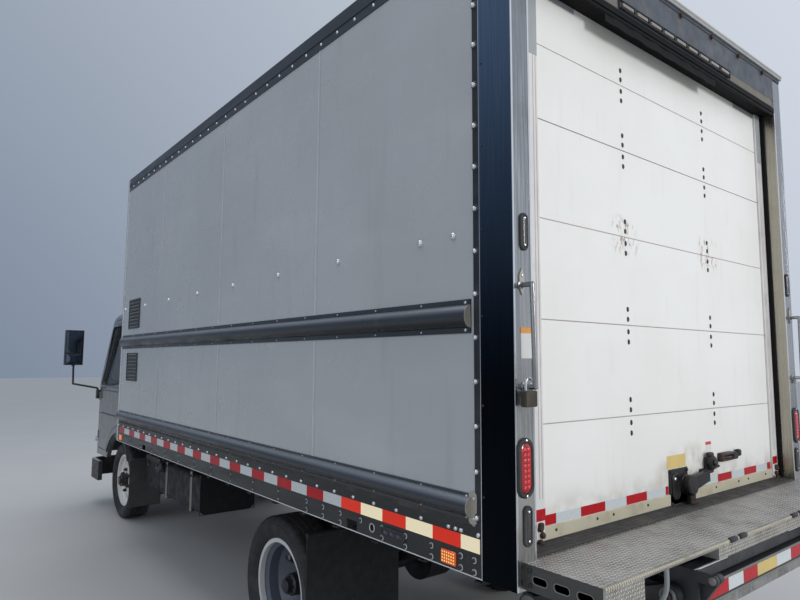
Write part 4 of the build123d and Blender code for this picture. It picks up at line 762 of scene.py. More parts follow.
def rail_details():
    """Reflective tape, dome rivets and bolt pairs along the side rails."""
    tape, bolts = Shape(), Shape()
    face, pitch, near = half_body, 0.1545, 6
    edges = [0.164, 0.258, 0.409, 0.568]
    while edges[-1] + pitch < wall_x - post_x:
        edges.append(edges[-1] + pitch)
    for index, (low, high) in enumerate(zip(edges[:-1], edges[1:])):
        # the six segments nearest the rear get the highlit tape copies: painted highlight
        finish = (("tape_white", "tape_red"), ("tape_white_highlit", "tape_red_highlit"))[index < near][index % 2]
        tape.box((post_x + low, face, 0.985), (post_x + high - 0.0006, face + 0.0008, 1.0345), finish)
    for x in (0.17, 0.255, 0.283, *spread(0.32, 4.78, 0.1536)):
        bolts.dome((post_x + x, face, 1.0485), left, 0.0095, 0.0085, "chrome", 12)
    upper, lower = 0.959, 0.919
    for x in (0.191, 0.258, 0.415, 0.57, 0.723, 0.877, 1.038, 1.187, 1.34):
        for z in (upper, lower) if x != 0.877 else (upper,):
            place = (post_x + x, face, z)
            bolts.lathe(place, left, ((0.0118, 0, 0.002), (0.01, 0.003)), "bright_aluminium", 12)
            bolts.nut((place[0], face + 0.002, z), left, 0.0078, 0.006, "bolt_dark")
    for x in spread(post_x + 1.635, post_x + 4.75, 0.306):
        for z in (upper, lower):
            bolts.dome((x, face, z), left, 0.005, 0.0035, "bright_aluminium", 8)
        bolts.box((x - 0.0015, face, 0.905), (x + 0.0015, face + 0.0012, 0.98), "dark_rail")
    hole = (post_x + 0.793, face, 0.945)
    rim = ((0.02, 0, 0.002), (0.017, 0.0035), (0.014, 0.002), (0.0135, 0.0005))
    bolts.lathe(hole, left, rim, "bright_aluminium", 20)
    # a near-black disc in the hole is painted shade
    bolts.lathe(hole, left, ((0.0135, 0, 0.0012),), "pitch", 20)
    bolts.box((post_end_x, face - 0.001, rail_low), (wall_x, face + 0.0025, rail_low + 0.0035), "strip_light")
    bolts.box((wall_x - 0.001, face - 0.001, rail_low), (wall_x + 0.0125, face + 0.0022, roof_z - 0.004), "strip_light")
    tape.mirror().make("rail_tape", "chassis", "red_lens")
    bolts.mirror().make("rail_rivets", "chassis", "bright_aluminium")


def rub_rail_details():
    """End plates and flange bolts of the rub rails, the lower panel's dark strip, and the vents' slats."""
    shape = Shape()
    face = panel_y
    low_x, high_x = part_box("rub_rails")[0].x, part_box("rub_rails")[1].x
    for middle, half, bump in ((1.81, 0.062, 0.042), (1.136, 0.046, 0.036)):
        for x in spread(low_x + 0.27, high_x - 0.1, 0.305):
            for z in (middle + half - 0.0095, middle - half + 0.0095):
                shape.dome((x, face + 0.005, z), left, 0.0045, 0.003, "bright_aluminium", 8)
        for end, way in ((low_x, -1), (high_x, 1)):
            turns = [math.pi * (step / 8 - 0.5) for step in range(9)]
            outline = [(0.006 + 0.0295 * math.cos(turn), bump * math.sin(turn)) for turn in turns]
            outline = [(end, face + y, middle + z) for y, z in [(0.004, -bump)] + outline]
            shape.sheet(outline, (way * 0.0035, 0, 0), "reveal")
            shape.box((end, face, middle - half), (end + way * 0.003, face + 0.0055, middle + half), "bolt_dark")
        for z in (middle + half - 0.012, middle - half + 0.012):
            shape.dome((low_x + 0.022, face + 0.005, z), left, 0.007, 0.005, "bright_aluminium", 10)
    shape.box((low_x, face, rail_high - 0.002), (high_x, face + 0.0035, 1.091), "sill_dark")
    plate = ((0.0195, 0.056, 0.014, 0, 0.0068), (0.018, 0.0545, 0.0125, 0.0085))
    shape.pads((post_x + 0.1955, face, 1.134), left_face, plate, "reveal", 4)
    for z in (1.1, 1.168):
        shape.dome((post_x + 0.188, face + 0.0085, z), left, 0.0075, 0.006, "bright_aluminium", 10)
    for start, low, high in ((1.083, 1.928, 2.192), (1.093, 1.461, 1.708)):
        for z in spread(low + 0.014, high - 0.0155, 0.031):
            shape.box((start + 0.014, face, z + 0.002), (1.389, face + 0.004, z + 0.006), "tape_grey")
    shape.mirror().make("rub_rail_ends", "chassis", "dark_rail")


def top_rail_details():
    """A row of bright rivets along the top rails, and the front corners' rivet rows."""
    shape = Shape()
    for x in spread(post_end_x + 0.05, wall_x, 0.1536):
        shape.dome((x, half_body, top_rail_z + 0.025), left, 0.0085, 0.008, "chrome", 10)
    shape.box((post_end_x, half_body, top_rail_z + 0.046), (wall_x, half_body + 0.003, top_rail_z + 0.052), "dark_rail")
    for z in spread(0.94, 3.3, 0.0768):
        shape.dome((wall_x + 0.018, half_body, z), left, 0.0065, 0.005, "chrome", 8)
        shape.dome((box_front_x, half_body - 0.062, z), ahead, 0.0065, 0.005, "chrome", 8)
    shape.mirror()
    for y in spread(-1.0, 1.0, 0.1536):
        for z in (top_rail_z + 0.025, rail_high - 0.03):
            shape.dome((box_front_x, y, z), ahead, 0.0085, 0.008, "chrome", 8)
    shape.make("body_rivets", "chassis", "bright_aluminium")


# Rear frame, door and lamps
def rear_header():
    """The header's lip, its rusty bolts, and the rubber flap under the lamp bar."""
    shape = Shape()
    for low_x, high_x, half_y, low_z, high_z, finish, bevel in (
        (-0.014, 0.03, half_body + 0.018, roof_z - 0.016, roof_z - 0.001, "reveal", 0.003),
        (-0.012, 0.004, half_body + 0.016, roof_z - 0.03, roof_z - 0.0155, "tape_grey", 0.002),
        # the near-black band under the lip is painted shadow
        (-0.0045, 0.002, half_body - 0.004, roof_z - 0.052, roof_z - 0.03, "bolt_dark", 0.001),
        (-0.0018, 0.001, 1.119, 3.1325, roof_z - 0.052, "header_grey", 0),
        # the near-black soffit is painted shade; the black lip below the lamp bar is darkened further as painted shade
        (0.006, 0.15, 1.118, 3.1195, 3.1225, "pitch", 0),
        (-0.003, 0.001, 1.118, 3.1205, 3.146, "pitch", 0),
        (-0.004, 0.001, 1.118, 3.189, 3.197, "bolt_dark", 0.001),
    ):
        shape.box((post_x + low_x, -half_y, low_z), (post_x + high_x, half_y, high_z), finish, bevel)
    for y in (0.93, 0.612, 0.295, -0.022, -0.337, -0.65, -0.962):
        shape.nut((post_x - 0.003, y, roof_z - 0.058), rear, 0.012, 0.011, "rust")
        washer = ((0.017, 0, 0.002), (0.014, 0.003))
        shape.lathe((post_x - 0.001, y, roof_z - 0.058), rear, washer, "rust", 12)
    for side in sides:
        shape.box((post_x - 0.006, side * 0.535, 3.146), (post_x + 0.001, side * 1.08, 3.189), "header_tan", 0.002)
    shape.make("header_trim", "chassis", "stainless")

    flap = Shape()
    rings = []
    for index in range(61):
        y = 0.615 - 0.995 * index / 60
        wave, low = 0.0015 * math.sin(index * 0.7), 3.066 + 0.0015 * math.sin(index * 0.55)
        rings.append([(post_x + x, y, z) for x, z in (
            (0.006, 3.121), (wave + 0.004, 3.098), (wave + 0.002, low),
            (wave + 0.0055, low), (wave + 0.0075, 3.099), (0.01, 3.121),
        )])
    # the flap is black rubber, made near black as painted shade
    flap.loft(rings, "pitch")
    flap.box((post_x + 0.001, -1.119, 3.102), (post_x + 0.014, 1.119, 3.1215), "pitch", 0.003)
    flap.make("door_flap", "chassis", "black_rubber", 50)


def lamp_set():
    """Every lamp of the van body: post lamps, side rail lamps, the header's bar, and tail lamps."""
    shape = Shape()
    for z in (2.094, 1.104):
        centre = (post_x, half_body - 0.056, z)
        shape.pads(centre, rear_face, (
            (0.0205, 0.0665, 1, 0, 0.005), (0.018, 0.064, 1, 0.008), (0.0125, 0.058, 1, 0.008),
            (0.0115, 0.057, 1, 0.0045),
        ), "black_rubber")
        shape.pads(centre, rear_face, (
            (0.0115, 0.057, 1, 0, 0.0055), (0.0085, 0.054, 1, 0.0085), (0.003, 0.048, 1, 0.0098),
        ), "dark_lens")
    first = (post_x + 0.32, half_body, 0.9395)
    shape.pads(first, left_face, ((0.038, 0.0245, 0.004, 0, 0.004), (0.036, 0.0225, 0.004, 0.0065)), "amber_base", 3)
    for column in range(6):
        for row in range(4):
            place = (first[0] + (column - 2.5) * 0.0118, half_body + 0.006, first[2] + (row - 1.5) * 0.0108)
            shape.dome(place, left, 0.0034, 0.0014, "amber_dot", 8)
    shape.pads((post_x + 0.648, half_body, 0.9475), left_face, (
        (0.08, 0.021, 1, 0, 0.004), (0.077, 0.018, 1, 0.0065), (0.07, 0.0125, 1, 0.0065),
        (0.069, 0.0115, 1, 0.004),
    ), "black_rubber")
    for offset in (-0.042, 0.0, 0.042):
        rows = ((0.0165, 0.0085, 0.004, 0, 0.0025), (0.0145, 0.0065, 0.003, 0.0038))
        shape.pads((post_x + 0.648 + offset, half_body + 0.003, 0.9475), left_face, rows, "blue_lens", 3)
    rows = ((0.035, 0.024, 0.006, 0, 0.004), (0.032, 0.021, 0.005, 0.0068))
    shape.pads((post_x + 4.695, half_body, 0.942), left_face, rows, "amber_lens", 3)
    shape.mirror()
    for side in sides:
        for z in (2.0465, 2.1415, 1.0565, 1.1515):
            shape.dome((post_x - 0.0085, side * (half_body - 0.056), z), rear, 0.005, 0.003, "chrome", 10)

    half, low, high, windows = 0.52, 3.152, 3.19, 9
    pitch = 2 * half / windows
    for start, bottom, top in ((-0.008, low, high), (-0.017, high - 0.005, high), (-0.017, low, low + 0.005)):
        end = 0 if start == -0.008 else -0.004
        shape.box((post_x + start, -half, bottom), (post_x + end, half, top), "black_plastic", 0.002)
    for index in range(windows):
        y = half - pitch * (index + 0.5)
        rows = ((0.044, 0.0085, 0.003, 0.0, 0.006), (0.0415, 0.007, 0.002, 0.0085))
        shape.pads((post_x - 0.0075, y, (low + high) / 2), rear_face, rows, "lens_beige", 2)
        edge = y - pitch / 2
        shape.box((post_x - 0.016, edge - 0.004, low), (post_x - 0.004, edge + 0.004, high), "black_plastic", 0.002)
    for y in (-1.02, -0.16, 0.0, 0.16, 1.02):
        for finish, rows in (
            ("black_plastic", ((0.042, 0.0155, 0.008, -0.001, 0.007), (0.038, 0.012, 0.006, 0.009))),
            ("amber_lens", ((0.035, 0.0105, 0.006, 0, 0.012), (0.029, 0.007, 0.005, 0.0165))),
        ):
            shape.pads((box_front_x, y, roof_z - 0.068), front_face, rows, finish, 3)
    shape.make("marker_lamp_set", "chassis", "amber_lens", replaces=("marker_lamps",))

    tails = Shape()
    middle, height = half_body - 0.045, 1.294
    tails.pads((post_x, middle, height), rear_face, (
        (0.04, 0.099, 1, 0, 0.006), (0.037, 0.096, 1, 0.0105), (0.0315, 0.09, 1, 0.0115),
        (0.0285, 0.084, 1, 0.009), (0.0275, 0.082, 1, 0.004),
    ), "black_rubber", 8)
    tails.pads((post_x, middle, height), rear_face, (
        (0.0275, 0.082, 1, 0, 0.005), (0.0262, 0.0808, 1, 0.0082), (0.021, 0.0755, 1, 0.0105),
        (0.011, 0.065, 1, 0.0118),
    ), "red_lens", 8)
    tails.mirror()
    for y in (middle, -middle):
        for step in sides:
            for row in range(8):
                place = (post_x - 0.0105, y + step * 0.0085, height + (row - 3.5) * 0.0175)
                tails.dome(place, rear, 0.0068, 0.0022, "red_bulb", 10)
            tails.dome((post_x - 0.0105, y, height + step * 0.0905), rear, 0.0055, 0.0035, "chrome", 10)
    tails.make("tail_lamp_set", "chassis", "red_lens", replaces=("tail_lamps",))


def door_details():
    """Rivet columns, tape, blank labels, the bottom rail, side channels and threshold of the rear door."""
    face = door_x
    shape = Shape()
    for bolt_y in (0.372, -0.39):
        for seam in door_seams:
            for offset in (0.069, 0.026, -0.028, -0.072):
                shape.pads((face, bolt_y, seam + offset), rear_face, (
                    (0.0075, 0.0115, 1, -0.001, 0.001), (0.0055, 0.009, 1, 0.0035),
                ), "bolt_dark", 3)
    for seam in door_seams:
        line = "seam_dark" if seam == door_seams[1] else "seam_line"
        shape.box((face - 0.0006, -1.05, seam - 0.001), (face + 0.001, 1.05, seam + 0.001), line)
    tape_low, tape_high = 1.055, 1.0915
    for edges in (
        (0.963, 0.896, 0.743, 0.581, 0.427, 0.268, 0.11, 0.085),
        (-0.155, -0.24, -0.397, -0.55, -0.699, -0.848, -0.993, -1.04),
    ):
        for index, (first, last) in enumerate(zip(edges[:-1], edges[1:])):
            finish = ("tape_red", "tape_white")[index % 2]
            shape.box((face - 0.0008, last + 0.0008, tape_low), (face + 0.001, first - 0.0008, tape_high), finish)
    shape.box((face - 0.007, -1.045, floor_z + 0.003), (face + 0.001, 1.045, tape_low - 0.002), "door_rail", 0.002)
    shape.box((face - 0.009, -1.045, floor_z + 0.0005), (face - 0.001, 1.045, floor_z + 0.012), "black_rubber", 0.002)
    for y in (0.905, 0.646, 0.534, 0.273, -0.36, -0.613, -0.728, -0.95):
        shape.dome((face - 0.007, y, 1.035), rear, 0.006, 0.004, "bolt_dark", 10)
    for side, inner in ((1, 0.972), (-1, 1.046)):
        for low_x, low_y, low_z, high_x, high_y, high_z, finish, bevel in (
            (-0.012, inner, floor_z + 0.02, 0.001, 1.1185, 3.12, "door_channel", 0.003),
            (-0.0126, inner + 0.012, floor_z + 0.16, -0.011, inner + 0.015, 3.12, "seam_line", 0),
            (-0.0126, inner + 0.028, floor_z + 0.16, -0.011, inner + 0.031, 3.12, "seam_line", 0),
            (-0.0132, inner + 0.001, 1.08, -0.011, 1.1, 1.121, "tape_red", 0),
            # a near-black strip in the gap beside the door channel is painted shade
            (-0.034, 1.108, floor_z + 0.015, -0.012, 1.116, 3.12, "pitch", 0.002),
            (-0.0132, inner + 0.004, 2.825, -0.011, inner + 0.054, 3.118, "tape_grey", 0),
            (-0.0012, inner - 0.26, 3.094, 0.001, inner, 3.119, "tape_grey", 0),
            (-0.024, inner + 0.018, 1.05, -0.005, inner + 0.042, 1.075, "rust", 0.004),
        ):
            shape.box((face + low_x, side * low_y, low_z), (face + high_x, side * high_y, high_z), finish, bevel)
        for step, drop in enumerate((0, 0.024, 0.048, 0.07)):
            place = (face - 0.018, side * (inner + 0.035 - 0.012 * (step % 2)), 1.055 - drop)
            shape.lathe(place, (0, 0.3, 1), ((0.008, -0.009), (0.0115, 0), (0.008, 0.009)), "rust", 8)
    for low_y, high_y, low_z, high_z, finish in (
        (-0.078, 0.09, 1.165, 1.2225, "label_yellow"), (-0.34, -0.283, 1.244, 1.259, "label_red"),
        (-0.338, -0.285, 1.2, 1.244, "label_white"),
    ):
        shape.box((face - 0.0008, low_y, low_z), (face + 0.001, high_y, high_z), finish)
    shape.make("door_fittings", "chassis", "door_white")

    sill = Shape()
    sill.box((post_x + 0.001, -1.118, floor_z - 0.001), (face - 0.001, 1.118, floor_z + 0.0075), "sill_dark", 0.002)
    sill.bars((-0.004, -1.115, 0.007), (0.004, 1.115, 0.0095), "sill_dark", 0.0012,
              *((post_x + x, 0, floor_z) for x in (0.022, 0.045, 0.068)))
    sill.make("threshold", "chassis", "latch_black")


def latch_details():
    """The door's latch: plate, boss, arm, lock strap and knob, and the pull handle beside it."""
    shape = Shape()
    for low_x, low_y, low_z, high_x, high_y, high_z, finish, bevel in (
        (-0.007, -0.084, 1.0, 0, 0.082, 1.162, "latch_black", 0.002),
        (-0.047, -0.075, 0.998, -0.024, -0.03, 1.07, "latch_black", 0.004),
        (-0.055, -0.072, 0.996, -0.014, -0.034, 1.014, "latch_black", 0.004),
        (-0.02, -0.322, 1.11, 0, -0.252, 1.19, "latch_black", 0.006),
        (-0.034, -0.3, 1.192, -0.008, -0.258, 1.212, "latch_rusty", 0.006),
        (-0.016, -0.255, 1.118, 0, -0.205, 1.138, "latch_black", 0.004),
        (-0.026, -0.585, 1.154, 0, -0.535, 1.19, "latch_black", 0.006),
        (-0.028, -0.618, 1.166, -0.004, -0.585, 1.2, "latch_black", 0.006),
    ):
        shape.box((door_x + low_x, low_y, low_z), (door_x + high_x, high_y, high_z), finish, bevel)
    shape.pads((door_x - 0.006, 0.03, 1.085), rear_face, (
        (0.036, 0.06, 0.03, 0, 0.004), (0.032, 0.055, 0.028, 0.008), (0.026, 0.048, 0.024, 0.008),
        (0.024, 0.046, 0.022, 0.003),
    ), "latch_black", 5)
    for y, z in ((0.07, 1.15), (-0.072, 1.15), (0.07, 1.012), (-0.072, 1.012)):
        shape.nut((door_x - 0.007, y, z), rear, 0.0075, 0.006, "rust")
    shape.dome((door_x - 0.0125, 0.045, 1.12), rear, 0.009, 0.006, "chrome", 12)
    shape.lathe((door_x - 0.006, -0.046, 1.087), rear, (
        (0.046, 0, 0.012), (0.039, 0.016, 0.022), (0.046, 0.026, 0.044), (0.04, 0.05),
        (0.016, 0.052),
    ), "latch_black", 28)
    arm = (
        (-0.05, 1.062), (-0.05, 1.118), (-0.19, 1.136), (-0.215, 1.136), (-0.215, 1.086), (-0.19, 1.084),
        (-0.075, 1.062),
    )
    shape.sheet([(door_x - 0.049, y, z) for y, z in arm], (0.02, 0, 0), "latch_black")
    pin = ((0.006, -0.035), (0.007, -0.03, 0.03), (0.006, 0.035))
    shape.lathe((door_x - 0.05, -0.052, 1.012), left, pin, "rust", 10)
    shape.lathe((door_x - 0.02, -0.282, 1.164), rear, (
        (0.036, 0, 0.012), (0.03, 0.02), (0.016, 0.022, 0.03), (0.011, 0.033),
    ), "latch_black", 24)
    shape.rod((door_x - 0.028, -0.3, 1.136), (door_x - 0.028, -0.352, 1.142), 0.0065, "latch_black")
    shape.pads((door_x, -0.47, 1.174), rear_face, (
        (0.068, 0.021, 0.008, 0, 0.02), (0.062, 0.017, 0.008, 0.027), (0.055, 0.01, 0.006, 0.027),
        (0.053, 0.009, 0.006, 0.01),
    ), "latch_rusty", 4)
    shape.tube([
        (door_x - 0.012 - 0.016 * math.sin(math.pi * step / 8), -0.395 - 0.14 * step / 8, 1.172) for step in range(9)
    ], 0.006, "latch_black")
    shape.make("latch_set", "chassis", "latch_black", replaces=("door_latch",))


def post_details():
    """Straps, flanges, a padlock and a blank label on the rear posts, with bright folded edges."""
    shape = Shape()
    front_x, low_z = post_x - 0.0022, rail_low + 0.001
    for low_y, high_y, high_z in ((-0.009, -0.0002, roof_z - 0.031), (-0.0998, -0.091, 3.122)):
        shape.box((front_x, half_body + low_y, low_z), (post_x + 0.004, half_body + high_y, high_z), "chrome", 0.001)
    for y, z in ((1.182, 1.906), (1.172, 1.562)):
        shape.lathe((post_x, y, z), rear, ((0.017, 0, 0.003), (0.011, 0.006)), "stainless", 16)
    outline = ((0, 1.965), (0.013, 1.94), (0.013, 1.9), (0.0, 1.872), (-0.012, 1.9), (-0.012, 1.94))
    shape.sheet([(post_x - 0.0045, 1.178 + y, z) for y, z in outline], (0.0045, 0, 0), "reveal")
    shape.mirror()
    for strap_y in (1.178, -1.178):
        shape.dome((post_x - 0.0045, strap_y, 1.94), rear, 0.0055, 0.004, "chrome", 10)
        shape.box((post_x - 0.02, strap_y - 0.016, 1.53), (post_x, strap_y + 0.008, 1.55), "bright_aluminium", 0.003)
    for low_z, high_z, finish in ((1.657, 1.742, "label_white"), (1.742, 1.762, "label_orange")):
        shape.box((post_x - 0.0012, 1.118, low_z), (post_x + 0.001, 1.186, high_z), finish)
    shape.make("post_fittings", "chassis", "stainless")

    lock = Shape()
    x, y = post_x - 0.034, 1.187
    lock.pads((x, y, 1.528), top_face, (
        (0.011, 0.026, 0.005, -0.031), (0.013, 0.029, 0.006, -0.029, 0.02),
        (0.011, 0.026, 0.005, 0.023),
    ), "lock_body", 4)
    for layer in range(9):
        rows = ((0.0138, 0.0298, 0.006, -0.0019, 0.0019),)
        lock.pads((x, y, 1.503 + layer * 0.0053), top_face, rows, "lock_body", 4)
    bow = [(x, y + 0.016 * c, 1.574 + 0.016 * s) for c, s in circle(20)[:11]]
    lock.tube([(x, y + 0.016, 1.545), *bow, (x, y - 0.016, 1.545)], 0.0045, "chrome", 10)
    lock.make("padlock", "chassis", "stainless")


# The bed extension and the liftgate
def lozenges(shape, origin, along, across, out, columns, rows, pitch, finish, size=(0.0095, 0.0026, 0.0011)):
    """Raised bars of tread plate in a basket of two directions over a flat face."""
    origin, along, across, out = Vector(origin), Vector(along), Vector(across), Vector(out)
    length, width, height = size
    paint = shape.use(finish)
    for row in range(rows):
        for column in range(columns):
            turn = 0.785 if (row + column) % 2 else -0.785
            way = (along * math.cos(turn) + across * math.sin(turn)) * length
            beside = (across * math.cos(turn) - along * math.sin(turn)) * width
            centre = origin + along * pitch * (column + 0.5) + across * pitch * (row + 0.5)
            foot = [centre + way, centre + beside, centre - way, centre - beside]
            start = len(shape.points)
            shape.points += foot + [centre + out * height + (point - centre) * 0.55 for point in foot]
            for index in range(4):
                after = (index + 1) % 4
                shape.faces.append((start + index, start + after, start + 4 + after, start + 4 + index))
            shape.faces.append((start + 4, start + 5, start + 6, start + 7))
            shape.paints += [paint] * 5


def deck_details():
    """Tread bars, a serrated rear nosing, rubber blocks and the side plates' rims."""
    shape = Shape()
    pitch = 0.0165
    lozenges(shape, (deck_low.x + 0.006, -deck_half + 0.004, deck_top - 0.0002), left, ahead, up,
             int(2 * deck_half / pitch), int((deck_high.x - deck_low.x) / pitch), pitch, "tread_bar")
    shape.make("deck_tread", "chassis", "tread_plate", 80)

    lips = Shape()
    pitch = 0.0125
    for side in sides:
        for inner, outer, low_z in ((0.0, 0.45, 0.932), (0.45, 0.955, 0.972), (0.955, deck_half, 0.906)):
            start = (deck_low.x + 0.0002, inner if side > 0 else -outer, low_z)
            columns, rows = int((outer - inner) / pitch), int((deck_top - 0.006 - low_z) / pitch)
            lozenges(lips, start, left, up, rear, columns, rows, pitch, "nosing", (0.0075, 0.0022, 0.001))
    lips.make("lip_tread", "chassis", "tread_plate", 80)

    edge = Shape()
    for y, half in ((0.338, 0.027), (0.256, 0.028)):
        low, high = (deck_low.x - 0.011, y - half, 0.978), (deck_low.x + 0.006, y + half, 0.9965)
        edge.box(low, high, "black_rubber", 0.004)
    for x in (0.06, 0.145, 0.23):
        edge.pads((deck_low.x + x, deck_half, 0.946), left_face, (
            (0.0315, 0.0145, 1, -0.002, 0.0015), (0.0295, 0.0125, 1, 0.0022),
            (0.0285, 0.0115, 1, 0.0015, -0.002),
        ), "grey_steel", 6)
    for z in (0.925, 0.972):
        edge.nut((deck_high.x - 0.02, deck_half, z), left, 0.008, 0.006, "bolt_dark")
    edge.mirror()
    pitch = 0.012
    for index in range(int(2 * deck_half / pitch)):
        edge.pads((deck_low.x + 0.004, -deck_half + 0.006 + index * pitch, deck_top - 0.006), rear_face, (
            (0.0035, 0.0052, 0.002, 0, 0.0065), (0.002, 0.0036, 0.002, 0.0088),
        ), "nosing", 2)
    edge.make("deck_edge", "chassis", "tread_plate", 60)


def lift_details():
    """Tape and blank plates on the liftgate's bar, hinge hardware and tread on its decks."""
    bar = Shape()
    bar_x = deck_low.x + 0.02
    edges = (0.52, 0.342, 0.214, 0.085, -0.106, -0.26, -0.4, -0.52)
    paints = ("tape_red", "tape_white", "tape_red", "label_yellow", "tape_white", "tape_red", "tape_white")
    for first, last, finish in zip(edges[:-1], edges[1:], paints):
        bar.box((bar_x - 0.0012, last + 0.0006, 0.797), (bar_x + 0.001, first - 0.0006, 0.844), finish)
    for half, low_z, high_z in ((0.503, 0.845, 0.8545), (0.532, 0.7825, 0.79)):
        bar.box((bar_x - 0.004, -half, low_z), (bar_x + 0.002, half, high_z), "grey_steel", 0.002)
    for side in sides:
        bar.nut((bar_x - 0.001, side * 0.526, 0.82), rear, 0.006, 0.005, "rust")
    bar.make("lift_bar_tape", "lift_platform", "lift_steel")

    platform_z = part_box("lift_platform")[0].z + 0.015
    low_x, high_x = deck_low.x + 0.06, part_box("lift_platform")[1].x - 0.045
    flip_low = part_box("lift_flipover")[0]
    pitch = 0.03
    for name, body, slot, tread_z, out, rib_x, half, rib_low, rib_high, bevel in (
        ("platform_tread", "lift_platform", "lift_steel", platform_z + 0.0002, down,
         low_x + 0.01, 0.004, platform_z + 0.037, platform_z + 0.042, 0.001),
        ("flipover_tread", "lift_flipover", "tread_plate", platform_z - 0.0062, up,
         flip_low.x + 0.03, 0.012, flip_low.z - 0.004, flip_low.z + 0.002, 0.002),
    ):
        tread = Shape()
        lozenges(tread, (low_x, -0.51, tread_z), left, ahead, out,
                 int(1.04 / pitch), int((high_x - low_x) / pitch), pitch, "tread_bar", (0.011, 0.003, 0.0011))
        for y in spread(-0.45, 0.45, 0.15):
            tread.box((rib_x, y - half, rib_low), (high_x, y + half, rib_high), "grey_steel", bevel)
        tread.make(name, body, slot, 80)

    arms = Shape()
    pivot_x, pivot_z, end_x, end_z, outer = post_x + 0.47, 0.575, post_x - 0.17, 0.805, 0.6
    for x, z, radius in ((pivot_x, pivot_z, 0.05), (end_x, end_z, 0.033)):
        washer = ((radius, -0.002, 0.003), (radius * 0.85, 0.0055))
        arms.lathe((x, outer, z), left, washer, "grey_steel", 24)
        arms.nut((x, outer + 0.005, z), left, radius * 0.5, 0.012, "rust")
    arms.dome((pivot_x - 0.05, outer, pivot_z + 0.028), left, 0.006, 0.006, "chrome", 8)
    for share in (0.2, 0.5, 0.8):
        x, z = pivot_x + (end_x - pivot_x) * share, pivot_z + (end_z - pivot_z) * share
        arms.dome((x, outer, z), left, 0.009, 0.006, "bolt_dark", 10)
    collar = ((0.044, -0.02), (0.047, -0.018, 0.018), (0.044, 0.02))
    arms.lathe((pivot_x, 0.3, pivot_z), left, collar, "grey_steel", 24)
    arms.mirror().make("lift_arm_fittings", "lift_arms", "lift_steel")

    crossbar = Shape()
    crossbar.box((deck_low.x + 0.036, 0.3, 0.9045), (deck_low.x + 0.044, 0.556, 0.9085), "strip_light", 0.001)
    washer = ((0.014, -0.001, 0.004), (0.011, 0.006))
    crossbar.lathe((deck_low.x - 0.024, 0.558, 0.886), left, washer, "grey_steel", 16)
    crossbar.mirror().make("crossbar_fittings", "lift_crossbar", "lift_steel")

    hangers = Shape()
    low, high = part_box("lift_hangers")
    for x in (low.x + 0.03, (low.x + high.x) / 2, high.x - 0.03):
        for z in (high.z - 0.035, high.z - 0.11):
            hangers.nut((x, 0.48, z), left, 0.0125, 0.01, "rust")
    hangers.mirror()
    path = (
        (-3.44, 0.72, 0.975), (-3.42, 0.68, 0.91), (-3.4, 0.645, 0.84), (-3.36, 0.63, 0.77), (-3.1, 0.63, 0.7),
        (-2.72, 0.63, 0.7), (-2.7, 0.44, 0.72),
    )
    for side in sides:
        hangers.tube([(x, side * y, z) for x, y, z in path], 0.009, "tape_grey", 10, 0.04, 4)
    hangers.make("lift_hanger_fittings", "chassis", "lift_steel")


# Wheels; each is built for the left and mirrored for the right
def tyre(shape, axle_x, middle_y):
    """A tyre with mould rings on its sidewalls, four tread grooves and notched shoulders."""
    bead, flange, groove = 0.2483, 0.2623, tyre_radius - 0.0085
    half_profile = [
        # radius, distance from the middle
        (bead, 0.0757), (flange, 0.0757), (flange + 0.006, 0.0895), (0.283, 0.1),
        (0.2855, 0.1032), (0.2885, 0.1032), (0.291, 0.1042), (0.306, 0.1122), (0.322, 0.1148), (0.337, 0.1138),
        (0.3395, 0.115), (0.3425, 0.115), (0.345, 0.112), (0.357, 0.108), (0.367, 0.104), (0.375, 0.0985),
        (0.381, 0.0915), (tyre_radius - 0.001, 0.083), (tyre_radius, 0.06), (groove, 0.0575), (groove, 0.0525),
        (tyre_radius, 0.05), (tyre_radius, 0.0225), (groove, 0.02), (groove, 0.015), (tyre_radius, 0.0125),
    ]
    profile = half_profile + [(radius, -away) for radius, away in reversed(half_profile)]
    rings = []
    for segment, (c, s) in enumerate(circle(168)):
        ring = []
        for radius, away in profile:
            if segment % 4 == 0 and radius > 0.36 and abs(away) > 0.058:
                radius -= 0.006
                away *= 0.975
            ring.append((axle_x + radius * c, middle_y + away, axle_z + radius * s))
        rings.append(ring)
    shape.loft(rings, "tyre", wrap=True)


def nut_ring(shape, axle_x, y, radius, count, way, size, finish, start=0.0):
    """Hexagon heads of a (radius, height) around an axle."""
    for c, s in circle(count, start):
        shape.nut((axle_x + radius * c, y, axle_z + radius * s), way, *size, finish)


def wheel_nuts(shape, axle_x, face_y):
    """A ring of nuts with washers and stud ends on a wheel's flat face."""
    circle_radius, count = 0.106, 6
    nut_ring(shape, axle_x, face_y + 0.005, circle_radius, count, left, (0.0165, 0.02), "bolt_dark", 0.5)
    for c, s in circle(count, 0.5):
        x, z = axle_x + circle_radius * c, axle_z + circle_radius * s
        shape.lathe((x, face_y, z), left, ((0.0205, -0.001, 0.003), (0.017, 0.006)), "bolt_dark", 16)
        shape.rod((x, face_y + 0.02, z), (x, face_y + 0.034, z), 0.0085, "rust", 10)


def brake_drum(shape, axle_x, y, inner, rim, shoulder, depth):
    """A rusty brake drum with a raised band, from its two radii and how deep its shoulder and back are."""
    shape.lathe((axle_x, y, axle_z), left, (
        (inner, 0.0), (rim, 0.002, 0.02), (rim + 0.005, 0.022), (rim + 0.005, 0.03), (rim, 0.032),
        (rim, shoulder), (inner, depth - 0.001), (0.088, depth),
    ), "rust", 40)


